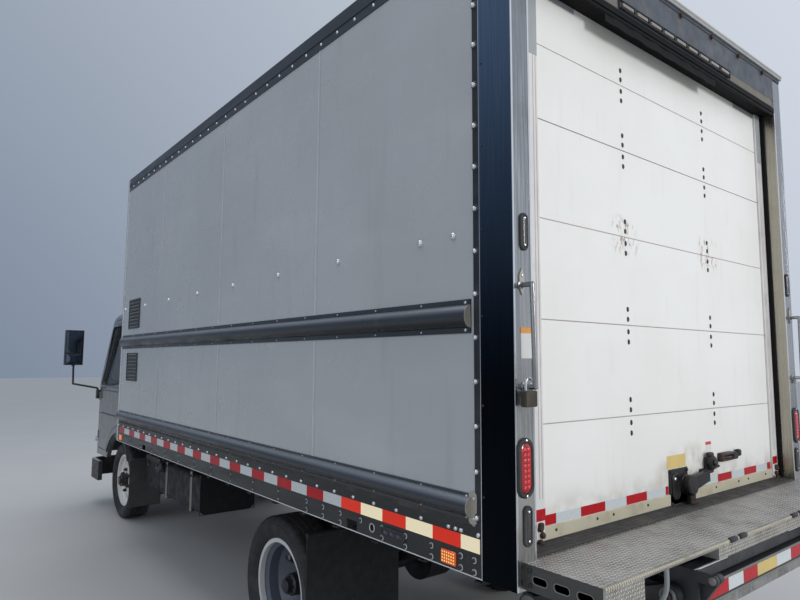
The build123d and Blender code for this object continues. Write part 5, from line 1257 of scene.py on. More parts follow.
def wheels():
    """Tyres with tread, wheel nuts, hub caps, valve stems and brake drums."""
    for side, word in words.items():
        front = Shape()
        tyre(front, front_axle_x, front_tyre_y)
        body = f"wheel_front_{word}"
        front.flip(side).make(f"front_tread_{word}", body, "tyre", 30, (f"front_tyre_{word}",))

        fittings = Shape()
        x, y = front_axle_x, front_tyre_y
        wheel_nuts(fittings, x, y + 0.0595)
        cap = ((0.04, 0), (0.046, 0.003, 0.012), (0.038, 0.02), (0.012, 0.023))
        fittings.lathe((x, y + 0.117, axle_z), left, cap, "bolt_dark", 24)
        nut_ring(fittings, x, y + 0.117, 0.051, 5, left, (0.006, 0.006), "bright_aluminium")
        stem = ((x + 0.19, y + 0.03, axle_z), (x + 0.2, y + 0.075, axle_z), (x + 0.192, y + 0.1, axle_z))
        fittings.tube(stem, 0.004, "black_rubber", 8, 0.015)
        brake_drum(fittings, x, y - 0.066, 0.15, 0.163, 0.088, 0.095)
        fittings.flip(side).make(f"front_fittings_{word}", body, "rim_white")

        duals = Shape()
        for turn in sides:
            tyre(duals, rear_axle_x, rear_tyre_y + turn * dual_spacing / 2)
        body = f"wheel_rear_{word}"
        duals.flip(side).make(f"rear_tread_{word}", body, "tyre", 30, (f"rear_tyres_{word}",))

        hub = Shape()
        x, y = rear_axle_x, rear_tyre_y
        wheel_nuts(hub, x, y + 0.0135)
        hub.lathe((x, y + 0.126, axle_z), left, (
            (0.05, 0), (0.06, 0.002, 0.03), (0.053, 0.036), (0.04, 0.04), (0.038, 0.066), (0.03, 0.072),
            (0.01, 0.075),
        ), "bolt_dark", 28)
        nut_ring(hub, x, y + 0.138, 0.044, 8, left, (0.0075, 0.034), "bolt_dark")
        brake_drum(hub, x, y - 0.122, 0.14, 0.154, 0.052, 0.057)
        hub.flip(side).make(f"rear_fittings_{word}", body, "rim_white")


def running_gear():
    """Backing plates, brake chambers, U-bolts, leaf lines and dampers on the axles and knuckles."""
    for side, word in words.items():
        plate = Shape()
        y = front_tyre_y - 0.0855
        rows = ((0.05, 0), (0.172, 0), (0.174, 0.003, 0.012), (0.17, 0.014), (0.05, 0.012))
        plate.lathe((front_axle_x, y, axle_z), left, rows, "chassis_black", 36)
        nut_ring(plate, front_axle_x, y, 0.085, 6, right, (0.009, 0.007), "rust")
        plate.flip(side).make(f"front_backing_{word}", f"knuckle_{word}", "chassis_black")

    shape = Shape()
    half_span, spring_half, spring_deep = 0.56, 0.033, 0.052
    for axle_x, y, side, seat_z, eye in (
        # axle, spring's middle, side, seat height, eye height
        *((front_axle_x, side * 0.394, side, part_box("front_axle")[1].z, 0.565) for side in sides),
        *((rear_axle_x, side * 0.48, side, axle_z + 0.058, 0.61) for side in sides),
    ):
        top, foot = seat_z + spring_deep + 0.012, seat_z - 0.11
        for layer, drop in ((0.3, 0.96), (0.55, 0.93), (0.8, 0.93)):
            rise = (eye - seat_z - spring_deep * 0.5) * drop
            shares = [step / 8 - 1 for step in range(17)]
            reach, low = half_span * (0.872 + 0.16 * layer), seat_z + spring_deep * layer
            path = [(axle_x + reach * share, low + rise * share ** 2) for share in shares]
            for edge in (-1, 1):
                line = [(x, y + edge * (spring_half - 0.001), z) for x, z in path]
                shape.tube(line, 0.0022, "bolt_dark", 6)
        for along in (-0.075, 0.075):
            x = axle_x + along
            bolt = [(x, y + away, z) for away, z in ((-0.042, foot), (-0.042, top), (0.042, top), (0.042, foot))]
            shape.tube(bolt, 0.008, "rust", 8, 0.02, 3)
            for away in (-0.042, 0.042):
                shape.nut((x, y + away, seat_z - 0.088), down, 0.0135, 0.013, "rust")
        for half, low_z, high_z in (
            (0.055, seat_z - 0.088, seat_z - 0.074), (0.045, seat_z + spring_deep - 0.004, seat_z + spring_deep + 0.01),
        ):
            shape.box((axle_x - 0.1, y - half, low_z), (axle_x + 0.1, y + half, high_z), "chassis_black", 0.003)
        for end in (-half_span, half_span):
            shape.nut((axle_x + end, y + side * 0.034, eye), (0, side, 0), 0.017, 0.012, "rust")
    rows = ((0.058, 0), (0.163, 0), (0.165, 0.003, 0.008), (0.16, 0.01), (0.058, 0.009))
    for side in sides:
        hub = (rear_axle_x, side * (rear_tyre_y - 0.1335), axle_z)
        shape.lathe(hub, (0, side, 0), rows, "chassis_black", 36)
        foot = Vector((rear_axle_x - 0.09, side * 0.36, axle_z + 0.05))
        head = Vector((rear_axle_x - 0.32, side * 0.385, 0.78))
        middle, eye = foot.lerp(head, 0.52), Vector((0, 0.035, 0))
        shape.rod(foot, middle, 0.03, "bolt_dark", 16)
        shape.rod(middle, head, 0.036, "chassis_black", 16)
        for place in (foot, head):
            shape.rod(place - eye, place + eye, 0.02, "rust", 12)
        for start, end, radius, finish in (
            ((-0.14, 0.01), (-0.25, 0.03), 0.075, "chassis_black"),
            ((-0.19, 0.02), (-0.205, 0.023), 0.082, "bolt_dark"),
        ):
            start, end = [(rear_axle_x + x, side * 0.56, axle_z + z) for x, z in (start, end)]
            shape.rod(start, end, radius, finish, 20)
        low, high = (rear_axle_x - 0.15, side * 0.53, axle_z - 0.03), (rear_axle_x - 0.03, side * 0.59, axle_z + 0.04)
        shape.box(low, high, "chassis_black", 0.006)
    nut_ring(shape, rear_axle_x, -0.0955, 0.14, 10, right, (0.009, 0.007), "rust")
    shape.make("axle_fittings", "chassis", "chassis_black")


# Cab
def cab_y(z):
    """The cab side's distance from the centreline at a height."""
    return cab_half - max(0.0, z - belt_z) * side_lean


def nose_point(y, z, proud=0.0):
    """A point on the cab's front at a place across it and a height."""
    away = abs(y)
    if away < 0.824:
        bow = 0.037 * (away / 0.824) ** 2
    else:
        bow = 0.037 + 0.3 * (away - 0.786) ** 2 + 2.1 * (away - 0.824) ** 2
    return Vector((front_axle_x + 1.04 - bow - cab_lean * max(0.0, z - belt_z) + proud, y, z))


def cab_doors():
    """Window seals, visors, handles, trim lines, inner panels and armrests of the two doors."""
    top_x, sill_x, rear_x = front_axle_x + 0.5524, front_axle_x + 0.7785, front_axle_x - 0.255
    low_x, high_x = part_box("door_left")[0].x + 0.012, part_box("door_left")[1].x - 0.02
    outline = (
        (rear_x + 0.4, 2.03), (rear_x, 2.03), (rear_x, 1.43), (sill_x - 0.345, 1.365), (sill_x, 1.365),
        (top_x, 2.03), (rear_x + 0.4, 2.03),
    )
    hood = (
        # x, z, how far it reaches out
        (sill_x - 0.03, 1.47, 0.004), (top_x + 0.02, 2.02, 0.03), (top_x - 0.05, 2.055, 0.038),
        (rear_x + 0.3, 2.062, 0.038), (rear_x - 0.01, 2.05, 0.03),
    )
    inner = cab_half - 0.0455
    for side, word in words.items():
        shape = Shape()
        shape.loft([
            [(x, cab_y(z) + 0.001, z), (x, cab_y(z) + reach, z - 0.035), (x, cab_y(z) + reach + 0.003, z - 0.035),
             (x, cab_y(z) + 0.006, z + 0.004)] for x, z, reach in hood
        ], "smoked_visor")
        shape.pads((front_axle_x - 0.2, cab_half, 1.215), left_face, (
            (0.085, 0.034, 0.014, -0.001, 0.003), (0.08, 0.029, 0.012, 0.006),
            (0.072, 0.02, 0.01, 0.006), (0.07, 0.018, 0.01, 0.001),
        ), "black_plastic", 4)
        shape.pads((front_axle_x - 0.2, cab_half + 0.001, 1.222), left_face, (
            (0.066, 0.012, 0.008, 0, 0.014), (0.062, 0.008, 0.006, 0.018),
        ), "black_plastic", 4)
        shape.dome((front_axle_x - 0.075, cab_half, 1.215), left, 0.011, 0.004, "chrome", 12)
        for z, wide in ((1.04, 0.005), (1.3, 0.004)):
            shape.box((low_x, cab_half, z - wide), (high_x, cab_half + 0.003, z + wide), "cab_trim", 0.0015)
        for start, end, near, far, low_z, high_z, finish, bevel in (
            (-0.26, 0.74, 0, 0.018, 0.97, 1.33, "dash_grey", 0.008),
            (-0.2, 0.25, 0.016, 0.06, 1.16, 1.2, "seat_fabric", 0.015),
            (0.3, 0.42, 0.016, 0.026, 1.22, 1.26, "chrome", 0.004),
        ):
            low, high = (front_axle_x + start, inner - near, low_z), (front_axle_x + end, inner - far, high_z)
            shape.box(low, high, finish, bevel)
        shape.flip(side)
        for proud, radius in ((0.001, 0.0075), (-0.045, 0.007)):
            path = [(x, side * (cab_y(z) + proud), z) for x, z in outline]
            shape.tube(path, radius, "black_rubber", 8, 0.03, 4)
        shape.make(f"door_trim_{word}", f"door_{word}", "black_plastic")


def cab_front():
    """Windscreen seal, wipers, grille bars, lamp bowls, indicators and the bumper's fittings."""
    shape = Shape()
    shape.tube([nose_point(0.1 * step - 0.8, 1.335, 0.0005) for step in range(17)], 0.005, "cab_trim", 6)
    shape.tube([nose_point(0.1 * step - 0.8, 1.15, 0.0005) for step in range(17)], 0.005, "cab_trim", 6)
    for z, half in ((1.112, 0.585), (0.907, 0.545)):
        shape.tube([nose_point(half * (step / 8 - 1), z) for step in range(17)], 0.009, "chrome", 8)
    corners = ((0.0, 1.4), (-0.868, 1.4), (-0.808, 2.12), (0.808, 2.12), (0.868, 1.4), (0.0, 1.4))
    seal = [
        nose_point(y0 + (y1 - y0) * step / 12, z0 + (z1 - z0) * step / 12, 0.001)
        for (y0, z0), (y1, z1) in zip(corners[:-1], corners[1:]) for step in range(12)
    ]
    shape.tube(seal + [nose_point(0.0, 1.4, 0.001)], 0.011, "black_rubber", 8)
    for pivot_y, tip_y in ((0.56, -0.02), (-0.12, -0.7)):
        boss = ((0.02, 0, 0.014), (0.012, 0.022))
        shape.lathe(nose_point(pivot_y, 1.372, -0.002), ahead, boss, "black_plastic", 16)
        arm = (nose_point(pivot_y, 1.372, 0.012), nose_point((pivot_y + tip_y) / 2, 1.43, 0.03))
        shape.tube(arm, 0.006, "black_plastic", 8)
        blade = [(pivot_y - 0.06 + (tip_y - pivot_y) * step / 8, 1.425 + 0.014 * step / 8) for step in range(9)]
        shape.tube([nose_point(y, z, 0.017) for y, z in blade], 0.0065, "black_rubber", 6)
    shape.pads(nose_point(0.0, 1.235, -0.003), front_face, (
        (0.12, 0.022, 0.02, 0, 0.006), (0.114, 0.017, 0.016, 0.009),
    ), "chrome", 6)
    for side in sides:
        for y, radius in ((0.668, 0.062), (0.81, 0.056)):
            shape.lathe(nose_point(side * y, 0.762, -0.004), (1, side * 0.35 * (y - 0.5), 0), (
                (radius + 0.012, 0), (radius + 0.012, 0.006), (radius + 0.006, 0.011), (radius, 0.009),
                (radius * 0.72, 0.004), (radius * 0.3, 0.002), (radius * 0.26, 0.008), (0.004, 0.009),
            ), "chrome", 32)
        for y in (0.885, 0.9):
            shape.pads(nose_point(side * y, 0.765, -0.012), ((-0.55, side, 0), up), (
                (0.016, 0.066, 0.01, 0, 0.014), (0.011, 0.06, 0.008, 0.018),
            ), "amber_lens", 4)
        lamp = (front_axle_x + 0.894, side * cab_half, 0.735)
        way = (0, side, 0)
        shape.lathe(lamp, way, ((0.03, -0.001, 0.005), (0.026, 0.009), (0.023, 0.006)), "chrome", 24)
        shape.dome((lamp[0], side * (cab_half + 0.004), lamp[2]), way, 0.0235, 0.016, "clear_lens", 20)
        turns = [math.radians(22 + 136 * step / 14) for step in range(15)]
        arch = [(front_axle_x + 0.486 * math.cos(turn), axle_z + 0.486 * math.sin(turn)) for turn in turns]
        shape.tube([(x, side * (cab_half + 0.001), z) for x, z in arch if z >= 0.585], 0.009, "black_plastic", 8)
    shape.make("cab_front_trim", "cab", "black_plastic")

    bumper = Shape()
    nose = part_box("front_bumper")[1].x
    for side in sides:
        bumper.lathe((nose - 0.03, side * 0.7, 0.4), (1, side * 0.08, 0), (
            (0.058, 0, 0.012), (0.05, 0.018), (0.044, 0.012), (0.03, 0.008), (0.004, 0.01),
        ), "clear_lens", 28)
        eye = ((0.03, 0, 0.026), (0.024, 0.03), (0.02, 0.022))
        bumper.lathe((nose - 0.034, side * 0.45, 0.4), ahead, eye, "black_rubber", 20)
        for step in range(7):
            x = nose - 0.42 + step * 0.045
            bumper.box((x, side * 0.99, 0.504), (x + 0.022, side * 1.022, 0.5085), "tread_bar", 0.001)
        for x in (nose - 0.44, nose - 0.24):
            bumper.nut((x, side * 1.03, 0.4), (0, side, 0), 0.009, 0.006, "bolt_dark")
        bumper.nut((nose - 0.0035, side * 0.3, 0.47), ahead, 0.009, 0.006, "bolt_dark")
        bumper.dome((nose + 0.004, side * 0.125, 0.44), ahead, 0.006, 0.004, "chrome", 10)
    bumper.box((nose - 0.006, -0.16, 0.34), (nose + 0.004, 0.16, 0.455), "plate_blank", 0.003)
    bumper.make("bumper_fittings", "chassis", "black_plastic")


def mirror_fittings():
    """Mirror glass, rims, clamps and lower convex mirrors."""
    shape = Shape()
    head_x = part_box("mirrors")[0].x + 0.005
    middle = 1.2885
    for x, z, face, finish, rows in (
        (0.0, 1.785, rear_face, "black_plastic", (
            (0.092, 0.199, 0.02, 0.0, 0.007), (0.084, 0.191, 0.016, 0.009),
            (0.082, 0.189, 0.015, 0.004),
        )),
        (-0.001, 1.845, rear_face, "mirror_glass", (
            (0.081, 0.124, 0.012, 0.0, 0.006), (0.078, 0.121, 0.01, 0.0068),
        )),
        (-0.001, 1.655, rear_face, "mirror_glass", (
            (0.081, 0.056, 0.012, 0.0, 0.0055), (0.07, 0.045, 0.012, 0.0085),
            (0.03, 0.018, 0.012, 0.0105),
        )),
        (0.066, 1.785, front_face, "black_plastic", (
            (0.0935, 0.2, 0.03, 0.0, 0.006), (0.08, 0.185, 0.03, 0.014), (0.04, 0.14, 0.03, 0.018),
        )),
    ):
        shape.pads((head_x + x, middle, z), face, rows, finish, 5)
    clamp = ((0.017, 0), (0.019, 0.003, 0.017), (0.017, 0.02))
    shape.lathe((front_axle_x + 0.91, middle, 1.575), up, clamp, "bolt_dark", 16)
    for z in (1.215, 1.275):
        shape.nut((front_axle_x + 0.89, 1.024, z), left, 0.007, 0.005, "bolt_dark")
    shape.mirror().make("mirror_glasses", "cab", "black_plastic")


def settle(piece):
    """Keep the piece's mesh as its modifiers make it, and remove them."""
    graph = bpy.context.evaluated_depsgraph_get()
    mesh = bpy.data.meshes.new_from_object(piece.evaluated_get(graph))
    piece.modifiers.clear()
    piece.data = mesh


def swell(piece, voxel, limit):
    """Let a pad swell under cloth pressure, with no point moving further than a limit."""
    remesh = piece.modifiers.new("remesh", "REMESH")
    remesh.mode = "VOXEL"
    remesh.voxel_size = voxel
    settle(piece)
    start = [point.co.copy() for point in piece.data.vertices]
    cloth = piece.modifiers.new("cloth", "CLOTH")
    cloth.settings.use_pressure = True
    cloth.settings.uniform_pressure_force = 4
    cloth.settings.effector_weights.gravity = 0
    for step in range(1, 21):
        scene.frame_set(step)
    settle(piece)
    scene.frame_set(1)
    for point, before in zip(piece.data.vertices, start):
        move = point.co - before
        if move.length > limit:
            point.co = before + move * (limit / move.length)


def seat(name, centre, face, half, floor):
    """A foam pad of the seats: swollen cloth with two sewn channels, a flat underside and piped edges."""
    centre, across, rise = Vector(centre), Vector(face[0]).normalized(), Vector(face[1]).normalized()
    out = across.cross(rise)
    wide, high, deep = half
    shrink = 0.012
    shape = Shape()
    shape.pads(centre, (across, rise), (
        (wide - shrink - 0.03, high - shrink - 0.03, 0.05, shrink - deep),
        (wide - shrink, high - shrink, 0.06, shrink + 0.02 - deep),
        (wide - shrink, high - shrink, 0.06, deep - shrink - 0.02),
        (wide - shrink - 0.03, high - shrink - 0.03, 0.05, deep - shrink),
    ), "seat_fabric", 4)
    piece = shape.make(name, "cab", "seat_fabric", 60, replaces=("seats",))
    swell(piece, 0.012, 0.016)
    piece.modifiers.new("smooth", "SUBSURF").levels = 1
    settle(piece)
    for point in piece.data.vertices:
        place = point.co - centre
        if place.dot(out) > 0 and max(wide, high) > 0.2:
            line = min(abs(abs(place.dot(rise)) - high * 0.62), abs(abs(place.dot(across)) - wide * 0.62))
            point.co -= out * 0.009 * math.exp(-((line / 0.012) ** 2))
        point.co.z = max(point.co.z, floor)
    piece.data.polygons.foreach_set("use_smooth", [True] * len(piece.data.polygons))
    piping = Shape()
    for reach in (0.02 - deep, deep - 0.02):
        ring = [centre + across * a + rise * b + out * reach for a, b in oblong(wide - 0.001, high - 0.001, 0.06, 6)]
        for point in ring:
            point.z = max(point.z, floor + 0.004)
        piping.tube(ring + ring[:1], 0.0035, "black_rubber", 6)
    piping.make(f"{name}_piping", "cab", "seat_fabric")


def cabin():
    """Padded seats, dials, vents, pedals, lever, sun visors, seat belts and the rear-view mirror."""
    back_face = (left, (-0.124, 0, 0.992))
    for word, low, high, heads in (("driver", 0.21, 0.75, (0.0,)), ("passenger", -0.76, 0.15, (-0.22, 0.22))):
        middle, half = (low + high) / 2, (high - low) / 2 - 0.006
        place = (front_axle_x - 0.205, middle, 1.16)
        seat(f"{word}_seat_cushion", place, top_face, (0.26, half, 0.064), 1.096)
        place = (front_axle_x - 0.443, middle, 1.53)
        seat(f"{word}_seat_back", place, back_face, (half, 0.293, 0.056), 1.23)
        for number, away in enumerate(heads):
            place = (front_axle_x - 0.492, middle + away, 1.9)
            seat(f"{word}_headrest_{number + 1}", place, back_face, (0.125, 0.07, 0.04), 1.83)

    shape = Shape()
    panel_x, dash_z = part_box("dashboard")[0].x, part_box("dashboard")[1].z
    shape.loft([
        [(panel_x + x, y, dash_z + z) for x, z in (
            (0.02, -0.02), (0.01, 0.05 - drop), (0.05, 0.075 - drop), (0.2, 0.04 - drop), (0.26, -0.01),
        )] for y, drop in ((0.29, 0.03), (0.32, 0), (0.48, 0), (0.64, 0), (0.67, 0.03))
    ], "dash_grey")
    for y, radius, z in ((0.55, 0.052, 0.005), (0.41, 0.052, 0.005), (0.48, 0.022, -0.03)):
        z += dash_z
        bezel = ((radius, 0, 0.008), (radius - 0.006, 0.012), (radius - 0.008, 0.008))
        shape.lathe((panel_x + 0.02, y, z), (-1, 0, 0.25), bezel, "dial_black", 28)
        shape.box((panel_x + 0.0055, y - 0.002, z), (panel_x + 0.008, y + 0.002, z + radius * 0.7), "label_orange")
    for y in (0.8, -0.8, 0.1, -0.12):
        shape.pads((panel_x + 0.002, y, dash_z - 0.05), rear_face, (
            (0.06, 0.03, 0.012, 0, 0.006), (0.055, 0.025, 0.01, 0.006), (0.053, 0.023, 0.01, 0.002),
        ), "dial_black", 3)
        for slat in range(4):
            z = dash_z - 0.066 + slat * 0.0105
            shape.box((panel_x - 0.004, y - 0.05, z), (panel_x + 0.001, y + 0.05, z + 0.003), "black_plastic")
    shape.pads((panel_x + 0.002, -0.01, dash_z - 0.13), rear_face, (
        (0.1, 0.028, 0.006, 0, 0.008), (0.094, 0.022, 0.004, 0.01),
    ), "dial_black", 3)
    for y in (-0.07, 0.05):
        knob = ((0.013, 0, 0.012), (0.01, 0.015))
        shape.lathe((panel_x - 0.006, y, dash_z - 0.13), rear, knob, "chrome", 16)
    for low, high, finish, bevel in (
        ((-0.004, -0.75, -0.185), (0.002, -0.3, -0.06), "dash_grey", 0.008),
        ((-0.008, -0.57, -0.085), (0, -0.48, -0.073), "black_plastic", 0.003),
    ):
        shape.bars(low, high, finish, bevel, (panel_x, 0, dash_z))
    floor_top = 0.915
    for y, wide in ((0.62, 0.03), (0.5, 0.035), (0.37, 0.028)):
        foot = (panel_x + 0.12, y, floor_top + 0.09)
        shape.rod((panel_x + 0.2, y, floor_top + 0.22), foot, 0.007, "bolt_dark", 8)
        rows = ((wide, 0.03, 0.008, 0), (wide, 0.03, 0.008, 0.008))
        shape.pads((panel_x + 0.11, y, floor_top + 0.08), (right, (0.5, 0, 0.87)), rows, "black_rubber", 3)
    x, y = front_axle_x + 0.32, 0.13
    boot = ((0.07, -0.002), (0.065, 0.02), (0.04, 0.05), (0.02, 0.09))
    shape.lathe((x, y, floor_top), up, boot, "black_rubber", 20)
    shape.tube(((x, y, 0.98), (x + 0.01, y + 0.02, 1.15), (x - 0.02, y + 0.03, 1.29)), 0.0075, "chrome", 10, 0.05)
    shape.dome((x - 0.02, y + 0.03, 1.285), up, 0.024, 0.04, "black_plastic", 16)
    shape.bars((0.36, -0.2, 2.115), (0.52, 0.2, 2.133), "dash_grey", 0.007,
               (front_axle_x, 0.48, 0), (front_axle_x, -0.48, 0))
    x, z = front_axle_x + 0.66, 2.0
    case = ((0.11, 0.032, 0.015, -0.012, 0.004), (0.105, 0.027, 0.012, 0.007))
    shape.pads((x, 0, z), rear_face, case, "black_plastic", 4)
    shape.pads((x - 0.006, 0, z), rear_face, ((0.1, 0.024, 0.01, 0, 0.0025),), "mirror_glass", 4)
    stalk = ((x + 0.01, 0, z + 0.01), (x + 0.045, 0, z + 0.05), (x + 0.075, 0, z + 0.075))
    shape.tube(stalk, 0.006, "black_plastic", 8)
    for side in sides:
        x, y = front_axle_x - 0.5, side * 0.83
        belt = ((x, y, 1.95), (x + 0.03, side * 0.8, 1.5), (x + 0.07, side * 0.79, 1.12))
        shape.tube(belt, 0.008, "black_plastic", 6)
        shape.bars((-0.02, -0.03, -0.02), (0.02, 0.03, 0.03), "black_plastic", 0.006, (x, y, 1.95))
    shape.make("cabin_fittings", "cab", "black_plastic")

    wheel = Shape()
    centre, way = Vector((front_axle_x + 0.43, 0.48, 1.39)), Vector((-0.47, 0, 0.8827))
    pad = ((0.07, 0), (0.074, 0.004), (0.068, 0.018), (0.03, 0.026), (0.004, 0.027))
    wheel.lathe(centre + way * 0.01, way, pad, "black_plastic", 28)
    wheel.lathe(centre + way * 0.036, way, ((0.02, 0, 0.001), (0.016, 0.0016)), "chrome", 20)
    wheel.make("steering_pad", "steering_wheel", "black_plastic")


# Below and above
def strap(shape, x, wide, low, high, thick, finish):
    """A flat band around a box-like tank between two (y, z) corners."""
    (low_y, low_z), (high_y, high_z) = low, high
    out_low_y, out_low_z, out_high_y, out_high_z = low_y - thick, low_z - thick, high_y + thick, high_z + thick
    for y0, z0, y1, z1 in (
        (out_low_y, out_low_z, out_high_y, low_z), (out_low_y, high_z, out_high_y, out_high_z),
        (out_low_y, out_low_z, low_y, out_high_z), (high_y, out_low_z, out_high_y, out_high_z),
    ):
        shape.box((x - wide / 2, y0, z0), (x + wide / 2, y1, z1), finish, 0.001)


def underside():
    """Tank straps and cap, battery box lid, exhaust bands, shaft joints and frame bolts."""
    shape = Shape()
    low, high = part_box("fuel_tank")
    corners = ((0.46, low.z), (high.y, high.z))
    for x in (low.x + 0.2, high.x - 0.2):
        strap(shape, x, 0.045, *corners, 0.003, "grey_steel")
        shape.nut((x, high.y + 0.003, high.z - 0.03), left, 0.011, 0.009, "rust")
    for x in (low.x + 0.003, high.x - 0.003):
        strap(shape, x, 0.012, *corners, 0.0025, "chassis_black")
    x, y, z = high.x - 0.1, high.y - 0.012, high.z - 0.075
    cap = ((0.034, 0, 0.025), (0.046, 0.027, 0.05), (0.04, 0.056), (0.015, 0.058))
    shape.lathe((x, y, z), (0, 1, 0.5), cap, "black_plastic", 28)
    shape.bars((-0.003, 0.03, 0.02), (0.003, 0.05, 0.026), "black_plastic", 0.001,
               *((x + 0.044 * c, y, z + 0.04 * s) for c, s in circle(10)))
    low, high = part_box("battery_box")
    lid = ((low.x - 0.004, low.y + 0.02, high.z - 0.05), (high.x + 0.004, high.y + 0.004, high.z + 0.006))
    shape.box(*lid, "black_plastic", 0.006)
    for x in spread(low.x + 0.05, high.x - 0.05, 0.05):
        rib = ((x - 0.006, low.y + 0.05, high.z + 0.004), (x + 0.006, high.y - 0.03, high.z + 0.009))
        shape.box(*rib, "black_plastic", 0.002)
    for x in (low.x + 0.08, high.x - 0.08):
        shape.bars((-0.015, 0, -0.1), (0.015, 0.008, -0.035), "latch_black", 0.003, (x, high.y, high.z))
        shape.dome((x, high.y + 0.008, high.z - 0.085), left, 0.006, 0.005, "chrome", 10)
    start, end = front_axle_x - 1.45, front_axle_x - 0.7
    band = ((0.1255, -0.014), (0.1285, -0.011, 0.011), (0.1255, 0.014))
    for x in (start + 0.004, start + 0.2, end - 0.2, end - 0.004):
        shape.lathe((x, -0.6, 0.59), ahead, band, "rust", 36)
    shape.bars((-0.012, -0.615, 0.715), (0.012, -0.585, 0.745), "rust", 0.003, (start + 0.2, 0, 0), (end - 0.2, 0, 0))
    band = ((0.043, -0.015), (0.049, -0.012, 0.012), (0.043, 0.015))
    shape.lathe((start - 0.06, -0.6, 0.59), ahead, band, "grey_steel", 24)
    for share in (0.012, 0.988):
        x, z = 1.443 - 2.538 * share, 0.56 - 0.16 * share
        shape.lathe((x, 0, z), ahead, ((0.043, -0.07), (0.056, -0.05, 0.03), (0.046, 0.05)), "rust", 20)
        for side in sides:
            shape.dome((x, side * 0.0558, z), (0, side, 0), 0.02, 0.008, "bolt_dark", 12)
    carrier = ((0.05, -0.05), (0.075, -0.04, 0.04), (0.05, 0.05))
    shape.lathe((0.2, 0, 0.56 - 0.16 * (1.243 / 2.538)), ahead, carrier, "black_rubber", 24)

    frame_low, frame_high, rail = 0.632, 0.81, 0.425
    for side in sides:
        for x in spread(-2.6, 3.2, 0.145):
            for z in (frame_low + 0.03, frame_high - 0.03):
                shape.dome((x, side * rail, z), (0, side, 0), 0.009, 0.007, "bolt_dark", 8)
        for x in spread(-2.9, 1.5, 0.4):
            near, far = side * (rail + 0.001), side * (rail + 0.008)
            shape.box((x - 0.03, near, frame_high - 0.09), (x + 0.03, far, 0.86), "chassis_black", 0.002)
            for z in (frame_high - 0.065, 0.84):
                shape.nut((x, far, z), (0, side, 0), 0.011, 0.009, "rust")
        for x in spread(-2.85, 1.35, 0.3048):
            shape.box((x - 0.022, side * 0.9, 0.956), (x + 0.022, side * 0.96, 0.9605), "rust", 0.001)
            for y, z in ((0.47, 0.808), (1.19, 0.908)):
                shape.nut((x + 0.03, side * y, z), down, 0.009, 0.006, "rust")
    shape.make("underside_fittings", "chassis", "chassis_black")


def roof_details():
    """Rivet rows along the roof's edges and over its bows, with two taped joints and edge beads."""
    shape = Shape()
    low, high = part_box("roof")
    top = high.z
    bows = list(spread(low.x + 0.3, high.x - 0.2, 0.61))
    rows = [(x, 1.05, 0.15, 0.007) for x in bows] + [(x, 1.08, 0.12, 0.0065) for x in (low.x + 0.02, high.x - 0.02)]
    for x, half, pitch, radius in rows:
        for y in spread(-half, half, pitch):
            shape.dome((x, y, top), up, radius, 0.0032, "grey_steel", 8)
    for x in (bows[2] + 0.3, bows[5] + 0.3):
        shape.box((x - 0.03, -1.14, top), (x + 0.03, 1.14, top + 0.0016), "tape_grey")
    for side in sides:
        start, end = (low.x + 0.01, side * 1.12, top - 0.001), (high.x - 0.01, side * 1.15, top + 0.0035)
        shape.box(start, end, "bright_aluminium", 0.001)
        for x in spread(low.x + 0.04, high.x - 0.04, 0.1):
            shape.dome((x, side * 1.135, top + 0.003), up, 0.0055, 0.0032, "bright_aluminium", 8)
    shape.make("roof_fittings", "chassis", "roof_sheet")


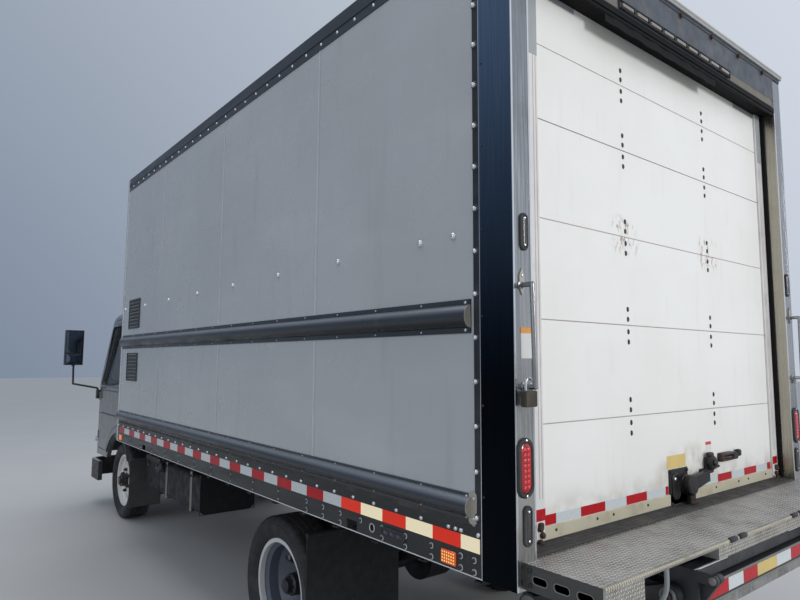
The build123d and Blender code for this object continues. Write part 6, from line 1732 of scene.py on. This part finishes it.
# Lighting and floor
def studio():
    """A pale floor, a soft sky that is darker to the truck's left, and three soft lights."""
    mesh = bpy.data.meshes.new("floor")
    reach = 60
    corners = [(x * reach, y * reach, -0.001) for x, y in ((-1, -1), (1, -1), (1, 1), (-1, 1))]
    mesh.from_pydata(corners, [], [(0, 1, 2, 3)])
    ground = Finish("floor", (0.5, 0.5, 0.49), 0.8)
    ground.mottle((0.47, 0.47, 0.46), 0.7, share=0.6)
    mesh.materials.append(ground.material)
    add_object("floor", mesh)

    scene.view_settings.view_transform = "Standard"
    world = bpy.data.worlds.new("sky")
    scene.world = world
    world.use_nodes = True
    nodes, links = world.node_tree.nodes, world.node_tree.links
    place = nodes.new("ShaderNodeTexCoord")
    dot = nodes.new("ShaderNodeVectorMath")
    dot.operation = "DOT_PRODUCT"
    dot.inputs[1].default_value = (-0.62, -0.55, 0.56)
    half = nodes.new("ShaderNodeMath")
    half.operation = "MULTIPLY_ADD"
    half.inputs[1].default_value = 0.5
    half.inputs[2].default_value = 0.5
    ramp = nodes.new("ShaderNodeValToRGB")
    for element, position, colour in zip(
        ramp.color_ramp.elements, (0.2, 0.9), ((0.2, 0.25, 0.33, 1), (0.72, 0.77, 0.86, 1)),
    ):
        element.position, element.color = position, colour
    background = nodes["Background"]
    background.inputs[1].default_value = 1.0
    links.new(place.outputs["Generated"], dot.inputs[0])
    links.new(dot.outputs["Value"], half.inputs[0])
    links.new(half.outputs[0], ramp.inputs[0])
    links.new(ramp.outputs[0], background.inputs[0])

    for name, place, target, size, power in (
        ("key", (-13.0, -2.0, 4.2), (-2.0, 0.0, 1.6), 2.2, 400),
        ("fill", (-4.0, 11.0, 5.0), (0.0, 0.0, 1.5), 7.0, 160),
        ("top", (1.0, 0.0, 11.0), (0.0, 0.0, 0.0), 8.0, 380),
    ):
        lamp = bpy.data.lights.new(name, "AREA")
        lamp.energy, lamp.size = power, size
        holder = add_object(name, lamp)
        holder.location = place
        holder.rotation_euler = (Vector(target) - Vector(place)).to_track_quat("-Z", "Y").to_euler()


for make_part in (
    place_camera, side_panel_details, corner_strips, rail_details, rub_rail_details, top_rail_details, rear_header,
    lamp_set, door_details, latch_details, post_details, deck_details, lift_details, wheels, running_gear, cab_doors,
    cab_front, mirror_fittings, cabin, underside, roof_details, studio,
):
    make_part()
